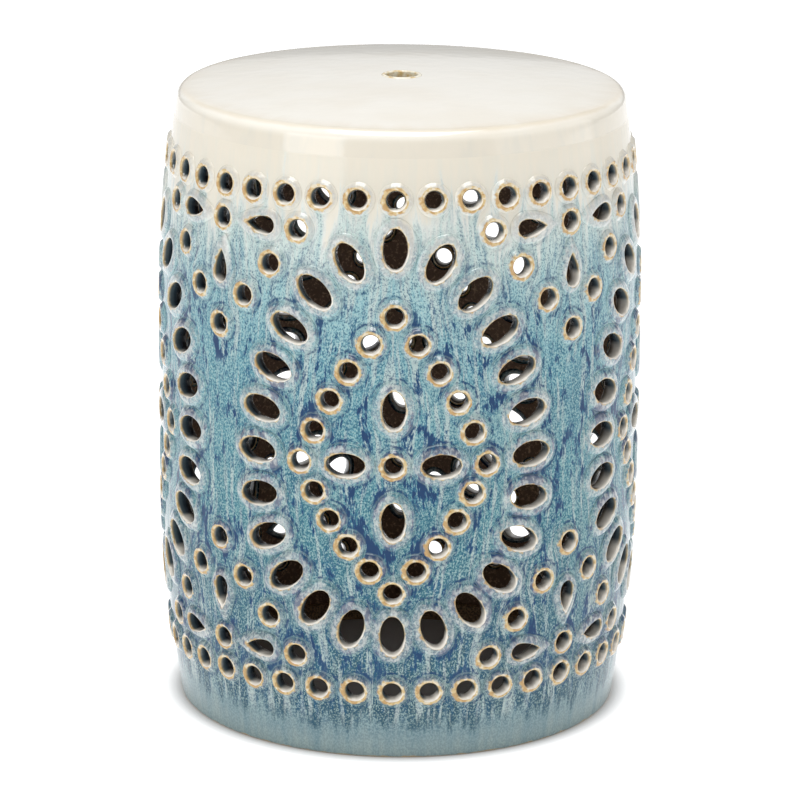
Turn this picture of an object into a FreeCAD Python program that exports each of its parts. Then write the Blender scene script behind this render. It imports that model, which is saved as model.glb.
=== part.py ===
"""Glazed ceramic garden stool with an openwork barrel.

Frame: +Z is up, the origin is the middle of the foot on the floor, and -Y is the front.
The barrel is pierced by four egg-shaped medallions, with a spandrel cluster above and
below each gap between them and a row of round holes along its top and its bottom.
Every hole is lined by a collar, a ring of clay set through the wall that stands proud
of it on the outside.
"""
import FreeCAD, Part
import Sketcher

import math
import os

# Driving dimensions: name, value, meaning. Lengths are in millimetres.
DIMENSIONS = [
    ("stool_height", 461.0, "floor to the top of the rim round the seat hole"),
    ("belly_radius", 172.5, "widest radius of the barrel"),
    ("foot_inset", 12.9, "how far the foot stands in from the belly"),
    ("shoulder_inset", 12.2, "how far the shoulder stands in from the belly"),
    ("lower_curve_height", 165.0, "height over which the barrel swells from the floor"),
    ("upper_curve_height", 162.6, "height over which the barrel draws in to the shoulder"),
    ("wall_thickness", 7.5, "barrel wall, without its collars"),
    ("crown_rise", 7.8, "rise of the domed seat above the shoulder"),
    ("shoulder_round", 8.4, "rounding where the seat turns into the wall"),
    ("seat_thickness", 11.0, "seat slab"),
    ("seat_seam_drop", 18.0, "from the shoulder down to the joint of seat and wall"),
    ("inner_round", 6.0, "rounding under the seat, where it meets its own skirt"),
    ("seat_bore_radius", 11.5, "finger hole in the seat"),
    ("rim_width", 3.0, "clay ring that lines the finger hole"),
    ("rim_rise", 0.6, "height of that ring above the crown"),
    ("rim_round", 1.2, "rounding of that ring's two edges"),
    ("foot_ring_height", 14.0, "ring of clay that thickens the wall's foot inside"),
    ("foot_ring_width", 6.5, "width of that ring"),
    ("foot_round", 2.0, "rounding of the foot's outer edge and of the ring's inner edges"),
    ("collar_height", 2.8, "collars above the barrel wall"),
    ("lip_round", 1.4, "rounding of the collars' outer and inner lips"),
    ("slip_gap", 0.1, "slip that joins the collars and the foot ring to the wall"),
    ("round_hole_radius", 7.0, "round holes"),
    ("round_band", 3.2, "width of a round collar's band"),
    ("oval_hole_length", 28.5, "oval holes of the medallion ring"),
    ("oval_hole_width", 16.5, "oval holes of the medallion ring"),
    ("oval_band", 5.0, "width of an oval collar's band"),
    ("petal_hole_length", 27.0, "four petals round a medallion's centre"),
    ("petal_hole_width", 16.0, "four petals round a medallion's centre"),
    ("petal_band", 5.0, "width of a petal collar's band"),
    ("leaf_hole_length", 21.5, "pointed leaves of the spandrels"),
    ("leaf_hole_width", 11.5, "pointed leaves of the spandrels"),
    ("leaf_band", 4.2, "width of a leaf collar's band at its blunt end"),
    ("leaf_tip_reach", 9.3, "solid tip of a leaf collar beyond its hole"),
    ("upper_row_drop", 46.1, "from the shoulder down to the upper row of holes"),
    ("lower_row_height", 52.5, "floor to the lower row of holes"),
    ("row_spacing", 26.0, "least spacing of the holes in both rows, at the belly"),
    ("centre_drop", 10.1, "medallion centres below the middle of the two rows"),
    ("ring_top_gap", 4.1, "clear wall from the upper row to the medallion ring"),
    ("ring_low_gap", 13.5, "clear wall from the lower row to the medallion ring"),
    ("ring_side_gap", 17.1, "clear wall from the medallion ring to the spandrel axis"),
    ("ring_egg", 0.15, "how much wider the ring is below its middle, as a share"),
    ("ring_crowding", 0.07, "how much closer the lower ovals stand, as a share"),
    ("oval_spacing", 31.0, "least mean spacing of the ovals along the ring"),
    ("diamond_top_gap", 17.5, "clear wall from the diamond's top to the ring"),
    ("diamond_low_gap", 2.2, "clear wall from the diamond's bottom to the ring"),
    ("diamond_side_gap", 3.6, "clear wall from the diamond's corners to the ring"),
    ("diamond_bow", 6.3, "outward bow of the diamond's sides"),
    ("diamond_clearance", 1.6, "least clear wall between two collars of a side"),
    ("petal_reach_up", 40.2, "medallion centre to the upper and lower petals"),
    ("petal_reach_side", 33.4, "medallion centre to the side petals"),
    ("spandrel_row_step", 23.5, "from a row of holes to the base of its spandrel"),
    ("spandrel_depth", 75.5, "base of a spandrel to its apex hole"),
    ("spandrel_half_width", 65.0, "spandrel axis to the outer hole of its base"),
    ("spandrel_bow", 1.5, "outward bow of a spandrel's sides"),
    ("base_leaf_offset", 35.0, "spandrel axis to the leaves of its base"),
    ("axis_leaf_step", 34.5, "base of a spandrel to the leaf on its axis"),
]

# Sizes worked out from the driving dimensions, as formulas on the sheet
CROWN_HEIGHT = "(Sizes.stool_height - Sizes.rim_rise)"
SHOULDER_HEIGHT = "(Sizes.stool_height - Sizes.rim_rise - Sizes.crown_rise)"
SHOULDER_RADIUS = "(Sizes.belly_radius - Sizes.shoulder_inset)"
FOOT_RADIUS = "(Sizes.belly_radius - Sizes.foot_inset)"
FOOT_LAND = f"({FOOT_RADIUS} - Sizes.wall_thickness)"
FOOT_OPENING = f"({FOOT_LAND} - Sizes.foot_ring_width)"
BELLY_LOW = "Sizes.lower_curve_height"
BELLY_HIGH = f"({SHOULDER_HEIGHT} - Sizes.upper_curve_height)"
SEAM_HEIGHT = f"({SHOULDER_HEIGHT} - Sizes.seat_seam_drop)"
LOWER_CURVE = "((Sizes.lower_curve_height^2 + Sizes.foot_inset^2) / (2 * Sizes.foot_inset))"
UPPER_CURVE = "((Sizes.upper_curve_height^2 + Sizes.shoulder_inset^2) / (2 * Sizes.shoulder_inset))"
DOME_CURVE = f"(({SHOULDER_RADIUS}^2 + Sizes.crown_rise^2) / (2 * Sizes.crown_rise))"
SEAT_OPENING = "(Sizes.seat_bore_radius + Sizes.rim_width)"

SIDES = 4
SIDE_NAMES = ["front", "right", "back", "left"]
CORNER_NAMES = ["front_right", "back_right", "back_left", "front_left"]
QUARTER_TURN = 90.0
UP = FreeCAD.Vector(0, 0, 1)
ACROSS = FreeCAD.Vector(1, 0, 0)
ORIGIN = FreeCAD.Vector(0, 0, 0)
CUTTER_OUTSIDE = 8.0
RING_SAMPLES = 720
SPANDREL_SIDE_STEPS = 3
LENGTH_MATCH = 0.05

# Points of a sketch's geometry, and the two axes of the sketch itself
START, END, CENTRE = 1, 2, 3
FLOOR_LINE = -1
MIDDLE_LINE = -2

doc = FreeCAD.newDocument("garden_stool")


def fill_sheet():
    """The driving dimensions, one row each: meaning, value."""
    sheet = doc.addObject("Spreadsheet::Sheet", "Sizes")
    for row, (name, value, meaning) in enumerate(DIMENSIONS, start=1):
        sheet.set(f"A{row}", meaning)
        sheet.set(f"B{row}", str(value))
        sheet.setAlias(f"B{row}", name)
    doc.recompute()
    return sheet


sizes = fill_sheet()


def size(name):
    """One driving dimension."""
    return float(getattr(sizes, name))


def worked(formula):
    """The number that a formula on the sheet gives."""
    return float(sizes.evalExpression(formula))


class Barrel:
    """The barrel's outer line: a curve, a straight belly and a second curve."""

    def __init__(self):
        self.belly = size("belly_radius")
        self.low = worked(BELLY_LOW)
        self.high = worked(BELLY_HIGH)
        self.low_curve = worked(LOWER_CURVE)
        self.high_curve = worked(UPPER_CURVE)
        self.low_centre = self.belly - self.low_curve
        self.high_centre = self.belly - self.high_curve

    def radius(self, height, outward=0.0):
        """Radius at a height, on the line moved outward by a distance."""
        if height < self.low:
            reach = (self.low_curve + outward) ** 2 - (self.low - height) ** 2
            return self.low_centre + math.sqrt(reach)
        if height > self.high:
            reach = (self.high_curve + outward) ** 2 - (height - self.high) ** 2
            return self.high_centre + math.sqrt(reach)
        return self.belly + outward

    def point(self, height, outward=0.0):
        """The same point as (radius, height)."""
        return (self.radius(height, outward), height)

    def tilt(self, height):
        """Angle of the outward normal above the horizontal, in radians."""
        if height < self.low:
            return -math.asin((self.low - height) / self.low_curve)
        if height > self.high:
            return math.asin((height - self.high) / self.high_curve)
        return 0.0

    def place(self, offset, height):
        """Frame on the wall: x runs round the belly, y up, z outward.

        The offset is measured round the belly, from the front axis.
        """
        around = offset / self.belly
        lift = self.tilt(height)
        radius = self.radius(height)
        along = FreeCAD.Vector(math.cos(around), math.sin(around), 0)
        out = FreeCAD.Vector(
            math.sin(around) * math.cos(lift), -math.cos(around) * math.cos(lift), math.sin(lift)
        )
        rise = out.cross(along)
        x, y = radius * math.sin(around), -radius * math.cos(around)
        frame = FreeCAD.Matrix(
            along.x, rise.x, out.x, x,
            along.y, rise.y, out.y, y,
            along.z, rise.z, out.z, height,
            0, 0, 0, 1,
        )
        return FreeCAD.Placement(frame)


barrel = Barrel()


class HalfSection:
    """Closed outline in the sketch of a turned piece: x is the radius, y the height."""

    def __init__(self, body, name):
        self.sketch = body.newObject("Sketcher::SketchObject", name)
        plane = next(item for item in body.Origin.OriginFeatures if item.Role == "XZ_Plane")
        self.sketch.AttachmentSupport = [(plane, "")]
        self.sketch.MapMode = "FlatFace"
        self.pieces = []

    def line(self, start, end):
        """A straight piece of the outline."""
        segment = Part.LineSegment(FreeCAD.Vector(*start, 0), FreeCAD.Vector(*end, 0))
        index = self.sketch.addGeometry(segment, False)
        self.pieces.append((index, 1, 2))
        return index

    def arc(self, centre, radius, start, end):
        """A round piece of the outline, from start to end the short way."""
        first = math.atan2(start[1] - centre[1], start[0] - centre[0])
        last = math.atan2(end[1] - centre[1], end[0] - centre[0])
        circle = Part.Circle(FreeCAD.Vector(*centre, 0), UP, radius)
        forward = last > first
        turn = (first, last) if forward else (last, first)
        index = self.sketch.addGeometry(Part.ArcOfCircle(circle, *turn), False)
        self.pieces.append((index, 1, 2) if forward else (index, 2, 1))
        return index

    def close(self):
        """Join each piece of the outline to the next."""
        following = self.pieces[1:] + self.pieces[:1]
        for (here, _, end), (there, start, _) in zip(self.pieces, following):
            self.sketch.addConstraint(Sketcher.Constraint("Coincident", here, end, there, start))

    def join(self, index, place, other, other_place):
        """Put two points of the outline in one place."""
        self.sketch.addConstraint(Sketcher.Constraint("Coincident", index, place, other, other_place))

    def bind(self, name, kind, index, place, formula):
        """Tie a coordinate of a point to a formula on the sheet."""
        value = worked(formula)
        ends = (-1, 1, index, place) if value > 0 else (index, place, -1, 1)
        made = self.sketch.addConstraint(Sketcher.Constraint(kind, *ends, abs(value)))
        self.sketch.renameConstraint(made, name)
        signed = formula if value > 0 else f"-({formula})"
        self.sketch.setExpression(f"Constraints.{name}", signed)

    def bind_radius(self, name, index, formula):
        """Tie the radius of an arc to a formula on the sheet."""
        made = self.sketch.addConstraint(Sketcher.Constraint("Radius", index, worked(formula)))
        self.sketch.renameConstraint(made, name)
        self.sketch.setExpression(f"Constraints.{name}", formula)

    def on_axis(self, index, place, axis):
        """Keep a point on the floor line or on the middle line."""
        self.sketch.addConstraint(Sketcher.Constraint("PointOnObject", index, place, axis))

    def square(self, kind, index):
        """Keep a line Horizontal or Vertical."""
        self.sketch.addConstraint(Sketcher.Constraint(kind, index))


def new_body(label):
    """An empty body for one turned piece."""
    body = doc.addObject("PartDesign::Body", label)
    body.Label = label
    return body


def turn(body, section, name):
    """Spin a half-section round the stool's axis."""
    section.close()
    doc.recompute()
    feature = body.newObject("PartDesign::Revolution", name)
    feature.Profile = section.sketch
    feature.ReferenceAxis = (section.sketch, ["V_Axis"])
    feature.Angle = 360.0
    section.sketch.Visibility = False
    doc.recompute()
    return feature


def ring_edges(body, rings):
    """Names of the circular edges that lie at the given (radius, height) places."""
    names = []
    for number, edge in enumerate(body.Shape.Edges, start=1):
        if not isinstance(edge.Curve, Part.Circle):
            continue
        if abs(abs(edge.Curve.Axis.z) - 1) > LENGTH_MATCH:
            continue
        for radius, height in rings:
            near_radius = abs(edge.Curve.Radius - radius) < LENGTH_MATCH
            near_height = abs(edge.Curve.Center.z - height) < LENGTH_MATCH
            if near_radius and near_height:
                names.append(f"Edge{number}")
    return names


def round_edges(body, name, rings, radius_name):
    """Round circular edges of a turned piece with a radius from the sheet."""
    names = ring_edges(body, rings)
    if len(names) != len(rings):
        raise ValueError(f"{name}: {len(names)} edges found of {len(rings)}")
    plain = body.Tip
    fillet = body.newObject("PartDesign::Fillet", name)
    fillet.Base = (plain, names)
    fillet.Radius = size(radius_name)
    fillet.setExpression("Radius", f"Sizes.{radius_name}")
    doc.recompute()


def bind_curve(section, name, index, curve, centre_height, thinner="0"):
    """Tie one of the barrel's curves, or its parallel inside the wall, to the sheet."""
    section.bind(f"{name}_centre", "DistanceX", index, CENTRE, f"(Sizes.belly_radius - {curve})")
    section.bind(f"{name}_level", "DistanceY", index, CENTRE, centre_height)
    section.bind_radius(f"{name}_curve", index, f"({curve} - {thinner})")


def make_foot_ring():
    """Ring of clay inside the wall's foot, which widens the sole and leaves the base open."""
    body = new_body("foot_ring")
    section = HalfSection(body, "foot_ring_section")
    top, opening = size("foot_ring_height"), worked(FOOT_OPENING)
    seat = worked(FOOT_LAND) - size("slip_gap")
    outer = section.line((seat, 0), (seat, top))
    roof = section.line((seat, top), (opening, top))
    inside = section.line((opening, top), (opening, 0))
    sole = section.line((opening, 0), (seat, 0))
    section.bind("ring_outside", "DistanceX", outer, START, f"({FOOT_LAND} - Sizes.slip_gap)")
    section.bind("ring_height", "DistanceY", outer, END, "Sizes.foot_ring_height")
    section.bind("ring_inside", "DistanceX", inside, START, FOOT_OPENING)
    section.square("Vertical", outer)
    section.square("Horizontal", roof)
    section.square("Vertical", inside)
    section.square("Horizontal", sole)
    section.on_axis(sole, END, FLOOR_LINE)
    turn(body, section, "foot_ring_turned")
    round_edges(body, "foot_ring_rounding", [(opening, 0), (opening, top)], "foot_round")
    return body


def make_barrel_blank():
    """Barrel wall before it is pierced, from the floor to the seat.

    A straight seat inside its foot takes the foot ring.
    """
    body = new_body("barrel_blank")
    section = HalfSection(body, "barrel_section")
    bottom, top = 0.0, worked(SEAM_HEIGHT)
    wall = size("wall_thickness")
    low_centre, high_centre = (barrel.low_centre, barrel.low), (barrel.high_centre, barrel.high)
    low_out = section.arc(low_centre, barrel.low_curve, barrel.point(bottom), barrel.point(barrel.low))
    section.line(barrel.point(barrel.low), barrel.point(barrel.high))
    high_out = section.arc(high_centre, barrel.high_curve, barrel.point(barrel.high), barrel.point(top))
    section.line(barrel.point(top), barrel.point(top, -wall))
    high_start, high_end = barrel.point(top, -wall), barrel.point(barrel.high, -wall)
    high_in = section.arc(high_centre, barrel.high_curve - wall, high_start, high_end)
    section.line(barrel.point(barrel.high, -wall), barrel.point(barrel.low, -wall))
    land, ledge_height = worked(FOOT_LAND), size("foot_ring_height")
    low_start, low_end = barrel.point(barrel.low, -wall), barrel.point(ledge_height, -wall)
    low_in = section.arc(low_centre, barrel.low_curve - wall, low_start, low_end)
    ledge = section.line(low_end, (land, ledge_height))
    seat = section.line((land, ledge_height), (land, bottom))
    sole = section.line((land, bottom), barrel.point(bottom))
    bind_curve(section, "low_outside", low_out, LOWER_CURVE, BELLY_LOW)
    bind_curve(section, "high_outside", high_out, UPPER_CURVE, BELLY_HIGH)
    bind_curve(section, "high_inside", high_in, UPPER_CURVE, BELLY_HIGH, "Sizes.wall_thickness")
    bind_curve(section, "low_inside", low_in, LOWER_CURVE, BELLY_LOW, "Sizes.wall_thickness")
    section.square("Horizontal", ledge)
    section.square("Vertical", seat)
    section.bind("ring_seat", "DistanceX", seat, START, FOOT_LAND)
    section.bind("ring_seat_height", "DistanceY", seat, START, "Sizes.foot_ring_height")
    section.on_axis(sole, START, FLOOR_LINE)
    section.on_axis(sole, END, FLOOR_LINE)
    section.bind("belly_low", "DistanceY", low_out, END, BELLY_LOW)
    section.bind("belly_low_inside", "DistanceY", low_in, END, BELLY_LOW)
    section.bind("belly_high", "DistanceY", high_out, START, BELLY_HIGH)
    section.bind("belly_high_inside", "DistanceY", high_in, START, BELLY_HIGH)
    section.bind("seat_joint", "DistanceY", high_out, END, SEAM_HEIGHT)
    section.bind("seat_joint_inside", "DistanceY", high_in, END, SEAM_HEIGHT)
    turn(body, section, "barrel_turned")
    round_edges(body, "foot_rounding", [(barrel.radius(bottom), bottom)], "foot_round")
    return body


def under_seat_corner():
    """Where the underside of the seat meets the inside of its skirt."""
    wall, thickness = size("wall_thickness"), size("seat_thickness")
    dome = worked(DOME_CURVE)
    dome_centre = (0.0, worked(CROWN_HEIGHT) - dome)
    skirt_centre = (barrel.high_centre, barrel.high)
    dome_radius, skirt_radius = dome - thickness, barrel.high_curve - wall
    gap_x, gap_y = dome_centre[0] - skirt_centre[0], dome_centre[1] - skirt_centre[1]
    gap = math.hypot(gap_x, gap_y)
    along = (skirt_radius ** 2 - dome_radius ** 2 + gap ** 2) / (2 * gap)
    aside = math.sqrt(skirt_radius ** 2 - along ** 2)
    x = skirt_centre[0] + (along * gap_x - aside * gap_y) / gap
    y = skirt_centre[1] + (along * gap_y + aside * gap_x) / gap
    return (x, y)


def make_seat_top():
    """Domed seat slab with its rounded shoulder and a short skirt."""
    body = new_body("seat_top")
    section = HalfSection(body, "seat_section")
    wall, thickness = size("wall_thickness"), size("seat_thickness")
    seam, opening = worked(SEAM_HEIGHT), worked(SEAT_OPENING)
    dome = worked(DOME_CURVE)
    dome_centre = (0.0, worked(CROWN_HEIGHT) - dome)
    skirt_centre = (barrel.high_centre, barrel.high)
    shoulder = (worked(SHOULDER_RADIUS), worked(SHOULDER_HEIGHT))
    inner_corner = under_seat_corner()
    bore_top = (opening, dome_centre[1] + math.sqrt(dome ** 2 - opening ** 2))
    bore_low = (opening, dome_centre[1] + math.sqrt((dome - thickness) ** 2 - opening ** 2))
    crown = section.arc(dome_centre, dome, bore_top, shoulder)
    skirt_out = section.arc(skirt_centre, barrel.high_curve, shoulder, barrel.point(seam))
    section.line(barrel.point(seam), barrel.point(seam, -wall))
    skirt_radius = barrel.high_curve - wall
    skirt_in = section.arc(skirt_centre, skirt_radius, barrel.point(seam, -wall), inner_corner)
    ceiling = section.arc(dome_centre, dome - thickness, inner_corner, bore_low)
    bore = section.line(bore_low, bore_top)
    section.on_axis(crown, CENTRE, MIDDLE_LINE)
    section.bind("dome_level", "DistanceY", crown, CENTRE, f"({CROWN_HEIGHT} - {DOME_CURVE})")
    section.bind_radius("dome_curve", crown, DOME_CURVE)
    section.join(ceiling, CENTRE, crown, CENTRE)
    section.bind_radius("ceiling_curve", ceiling, f"({DOME_CURVE} - Sizes.seat_thickness)")
    bind_curve(section, "skirt", skirt_out, UPPER_CURVE, BELLY_HIGH)
    bind_curve(section, "skirt_inside", skirt_in, UPPER_CURVE, BELLY_HIGH, "Sizes.wall_thickness")
    section.bind("seam", "DistanceY", skirt_out, START, SEAM_HEIGHT)
    section.bind("seam_inside", "DistanceY", skirt_in, START, SEAM_HEIGHT)
    section.bind("opening", "DistanceX", bore, START, SEAT_OPENING)
    section.square("Vertical", bore)
    turn(body, section, "seat_turned")
    round_edges(body, "shoulder_rounding", [shoulder], "shoulder_round")
    round_edges(body, "inner_rounding", [inner_corner], "inner_round")
    return body


def make_seat_hole_rim():
    """Ring of clay that lines the finger hole in the seat and stands just above it."""
    body = new_body("seat_hole_rim")
    section = HalfSection(body, "rim_section")
    bore, outside = size("seat_bore_radius"), worked(SEAT_OPENING)
    top, bottom = size("stool_height"), worked(CROWN_HEIGHT) - size("seat_thickness")
    lining = section.line((bore, bottom), (bore, top))
    lip = section.line((bore, top), (outside, top))
    outer = section.line((outside, top), (outside, bottom))
    sole = section.line((outside, bottom), (bore, bottom))
    section.square("Vertical", lining)
    section.square("Horizontal", lip)
    section.square("Vertical", outer)
    section.square("Horizontal", sole)
    section.bind("bore", "DistanceX", lining, START, "Sizes.seat_bore_radius")
    section.bind("underside", "DistanceY", lining, START, f"({CROWN_HEIGHT} - Sizes.seat_thickness)")
    section.bind("rim_outside", "DistanceX", outer, START, SEAT_OPENING)
    section.bind("rim_top", "DistanceY", outer, START, "Sizes.stool_height")
    turn(body, section, "rim_turned")
    round_edges(body, "rim_rounding", [(bore, top), (outside, top)], "rim_round")
    return body


def circle_outline(radius):
    """Round outline."""
    return Part.Wire([Part.Circle(ORIGIN, UP, radius).toShape()])


def oval_outline(length, width):
    """Elliptical outline with its long axis along x."""
    return Part.Wire([Part.Ellipse(ORIGIN, length / 2, width / 2).toShape()])


def leaf_outline(length, width):
    """Leaf outline: a half circle at the blunt end, two arcs to the tip at +x."""
    blunt = width / 2
    reach = length - blunt
    flank = (reach ** 2 + blunt ** 2) / (2 * blunt)
    start = blunt - length / 2
    half_sweep = math.asin(reach / flank) / 2
    middle_x = start + flank * math.sin(half_sweep)
    middle_y = blunt - flank * (1 - math.cos(half_sweep))
    upper, lower = FreeCAD.Vector(start, blunt, 0), FreeCAD.Vector(start, -blunt, 0)
    tip, heel = FreeCAD.Vector(length / 2, 0, 0), FreeCAD.Vector(-length / 2, 0, 0)
    arcs = [
        Part.Arc(lower, heel, upper),
        Part.Arc(upper, FreeCAD.Vector(middle_x, middle_y, 0), tip),
        Part.Arc(tip, FreeCAD.Vector(middle_x, -middle_y, 0), lower),
    ]
    return Part.Wire([arc.toShape() for arc in arcs])


def hole_outline(kind):
    """Clear opening of a piercing."""
    if kind == "round":
        return circle_outline(size("round_hole_radius"))
    if kind == "leaf":
        return leaf_outline(size("leaf_hole_length"), size("leaf_hole_width"))
    return oval_outline(size(f"{kind}_hole_length"), size(f"{kind}_hole_width"))


def collar_outline(kind, gap=0.0):
    """Outside of a collar, or with a gap, the cut-out in the wall that takes it."""
    band = size(f"{kind}_band") + gap
    if kind == "round":
        return circle_outline(size("round_hole_radius") + band)
    length, width = size(f"{kind}_hole_length"), size(f"{kind}_hole_width")
    if kind == "leaf":
        tip = size("leaf_tip_reach") + gap
        outline = leaf_outline(length + band + tip, width + 2 * band)
        outline.translate(FreeCAD.Vector((tip - band) / 2, 0, 0))
        return outline
    return oval_outline(length + 2 * band, width + 2 * band)


def prism(outline, inward, outward):
    """Outline pushed along z, from inward of the wall's surface to outward of it."""
    shape = Part.Face(outline).extrude(FreeCAD.Vector(0, 0, inward + outward))
    shape.translate(FreeCAD.Vector(0, 0, -inward))
    return shape


def put(shape, offset, height, angle):
    """Move a shape to its place on the wall, turned by an angle in degrees."""
    turn_first = FreeCAD.Placement(ORIGIN, FreeCAD.Rotation(UP, angle))
    shape.Placement = barrel.place(offset, height).multiply(turn_first).multiply(shape.Placement)
    return shape


def make_cutter(kind, offset, height, angle):
    """Tool that cuts the place of one collar through the wall."""
    outline = collar_outline(kind, size("slip_gap"))
    return put(prism(outline, 2 * size("wall_thickness"), CUTTER_OUTSIDE), offset, height, angle)


def make_collar(kind, offset, height, angle):
    """Ring of clay set through the wall round one hole, rounded at its outer lips."""
    depth, rise = size("wall_thickness"), size("collar_height")
    ring = prism(collar_outline(kind), depth, rise).cut(prism(hole_outline(kind), 2 * depth, 2 * rise))
    lips = [edge for edge in ring.Edges if edge.BoundBox.ZMin > rise - LENGTH_MATCH]
    return put(ring.makeFillet(size("lip_round"), lips), offset, height, angle)


def mirrored(shape):
    """The same shape on the other side of its motif's axis."""
    return shape.mirror(ORIGIN, ACROSS)


def turned(shape, angle):
    """A copy turned round the stool's axis."""
    copy = shape.copy()
    copy.rotate(ORIGIN, UP, angle)
    return copy


def both_sides(holes, maker):
    """Shapes for holes given on one side of an axis: those off the axis come twice."""
    shapes = []
    for kind, offset, height, angle in holes:
        shape = maker(kind, offset, height, angle)
        shapes.append(shape)
        if offset > LENGTH_MATCH:
            shapes.append(mirrored(shape))
    return shapes


# Layout of the openwork. A hole is (kind, offset from its motif's axis, height, angle).
half_quarter = math.pi / SIDES * size("belly_radius")
upper_row_height = worked(SHOULDER_HEIGHT) - size("upper_row_drop")
lower_row_height = size("lower_row_height")
centre_height = (upper_row_height + lower_row_height) / 2 - size("centre_drop")
round_reach = size("round_hole_radius") + size("round_band")
oval_reach = size("oval_hole_length") / 2 + size("oval_band")
ring_top = upper_row_height - round_reach - size("ring_top_gap") - oval_reach
ring_bottom = lower_row_height + round_reach + size("ring_low_gap") + oval_reach
ring_half_width = half_quarter - size("ring_side_gap") - oval_reach
row_count = 2 * SIDES * int(half_quarter / size("row_spacing"))


def ring_point(turn_angle):
    """Point of the egg-shaped medallion ring, from its top at 0 to its bottom at pi."""
    middle, rise = (ring_top + ring_bottom) / 2, (ring_top - ring_bottom) / 2
    swell = 1 - size("ring_egg") * math.cos(turn_angle)
    return ring_half_width * math.sin(turn_angle) * swell, middle + rise * math.cos(turn_angle)


def medallion_ring():
    """Ovals that stand out from the egg like petals, closer together lower down."""
    points = [ring_point(math.pi * step / RING_SAMPLES) for step in range(RING_SAMPLES + 1)]
    lengths = [0.0]
    for here, there in zip(points, points[1:]):
        lengths.append(lengths[-1] + math.dist(here, there))
    count = int(lengths[-1] / size("oval_spacing"))
    holes = []
    for number in range(count + 1):
        share = number / count
        target = lengths[-1] * (share + size("ring_crowding") * share * (1 - share))
        nearest = min(range(RING_SAMPLES + 1), key=lambda step: abs(lengths[step] - target))
        before, after = points[max(nearest - 1, 0)], points[min(nearest + 1, RING_SAMPLES)]
        outward = math.degrees(math.atan2(after[1] - before[1], after[0] - before[0])) + QUARTER_TURN
        holes.append(("oval", points[nearest][0], points[nearest][1], outward))
    return holes


def bowed_side(start, end, steps, bow):
    """Points along a side that bows outward, without its two ends."""
    across, drop = end[0] - start[0], start[1] - end[1]
    run = math.hypot(across, drop)
    points = []
    for step in range(1, steps):
        share = step / steps
        swell = bow * math.sin(math.pi * share) / run
        x = start[0] + across * share + abs(drop) * swell
        y = start[1] - drop * share + math.copysign(across, drop) * swell
        points.append((x, y))
    return points


def medallion_diamond():
    """Round holes that form a diamond with bowed sides inside the ring."""
    top = (0.0, ring_top - oval_reach - size("diamond_top_gap") - round_reach)
    bottom = (0.0, ring_bottom + oval_reach + size("diamond_low_gap") + round_reach)
    corner = (ring_half_width - oval_reach - size("diamond_side_gap") - round_reach, centre_height)
    pitch = 2 * round_reach + size("diamond_clearance")
    upper_steps = int(math.dist(top, corner) / pitch)
    lower_steps = int(math.dist(corner, bottom) / pitch)
    upper = bowed_side(top, corner, upper_steps, size("diamond_bow"))
    lower = bowed_side(bottom, corner, lower_steps, size("diamond_bow"))
    return [("round", x, y, 0.0) for x, y in [top, *upper, corner, *lower, bottom]]


def medallion_petals():
    """Four oval petals round the centre."""
    up, side = size("petal_reach_up"), size("petal_reach_side")
    return [
        ("petal", 0.0, centre_height + up, QUARTER_TURN),
        ("petal", side, centre_height, 0.0),
        ("petal", 0.0, centre_height - up, QUARTER_TURN),
    ]


def medallion_centre():
    """One round hole."""
    return [("round", 0.0, centre_height, 0.0)]


def spandrel_rounds(base, inward):
    """Round holes of a spandrel: along its base and down its sides to the apex."""
    outer = (size("spandrel_half_width"), base)
    apex = (0.0, base + inward * size("spandrel_depth"))
    sides = bowed_side(apex, outer, SPANDREL_SIDE_STEPS, size("spandrel_bow"))
    return [("round", x, y, 0.0) for x, y in [(0.0, base), outer, *sides, apex]]


def spandrel_leaves(base, inward):
    """Leaves of a spandrel: two on its base and one on its axis, tips to the base's middle."""
    return [
        ("leaf", size("base_leaf_offset"), base, 2 * QUARTER_TURN),
        ("leaf", 0.0, base + inward * size("axis_leaf_step"), -inward * QUARTER_TURN),
    ]


upper_base = upper_row_height - size("spandrel_row_step")
lower_base = lower_row_height + size("spandrel_row_step")
MEDALLION = {
    "medallion_ring_collars": medallion_ring(),
    "medallion_diamond_collars": medallion_diamond(),
    "medallion_petal_collars": medallion_petals(),
    "medallion_centre_collar": medallion_centre(),
}
SPANDREL = {
    "upper_round_collars": spandrel_rounds(upper_base, -1),
    "upper_leaf_collars": spandrel_leaves(upper_base, -1),
    "lower_round_collars": spandrel_rounds(lower_base, 1),
    "lower_leaf_collars": spandrel_leaves(lower_base, 1),
}
ROWS = {"upper_row_collars": upper_row_height, "lower_row_collars": lower_row_height}


def make_piercings():
    """All the tools that pierce the wall, as one group."""
    tools = []
    for height in ROWS.values():
        tool = make_cutter("round", 0.0, height, 0.0)
        tools += [turned(tool, 360.0 * number / row_count) for number in range(row_count)]
    for motifs, first_turn in ((MEDALLION, 0.0), (SPANDREL, QUARTER_TURN / 2)):
        for holes in motifs.values():
            for tool in both_sides(holes, make_cutter):
                tools += [turned(tool, first_turn + QUARTER_TURN * side) for side in range(SIDES)]
    feature = doc.addObject("Part::Feature", "wall_piercings")
    feature.Shape = Part.makeCompound(tools)
    return feature


def make_barrel_wall():
    """The pierced wall."""
    wall = doc.addObject("Part::Cut", "barrel_wall")
    wall.Label = "barrel_wall"
    wall.Base = make_barrel_blank()
    wall.Tool = make_piercings()
    doc.recompute()
    return wall


def collar_group(label, shapes, angle=0.0):
    """A group of separate collars, turned to its place round the stool."""
    group = doc.addObject("Part::Feature", label)
    group.Label = label
    group.Shape = Part.makeCompound(shapes)
    group.Placement = FreeCAD.Placement(ORIGIN, FreeCAD.Rotation(UP, angle))
    return group


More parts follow.
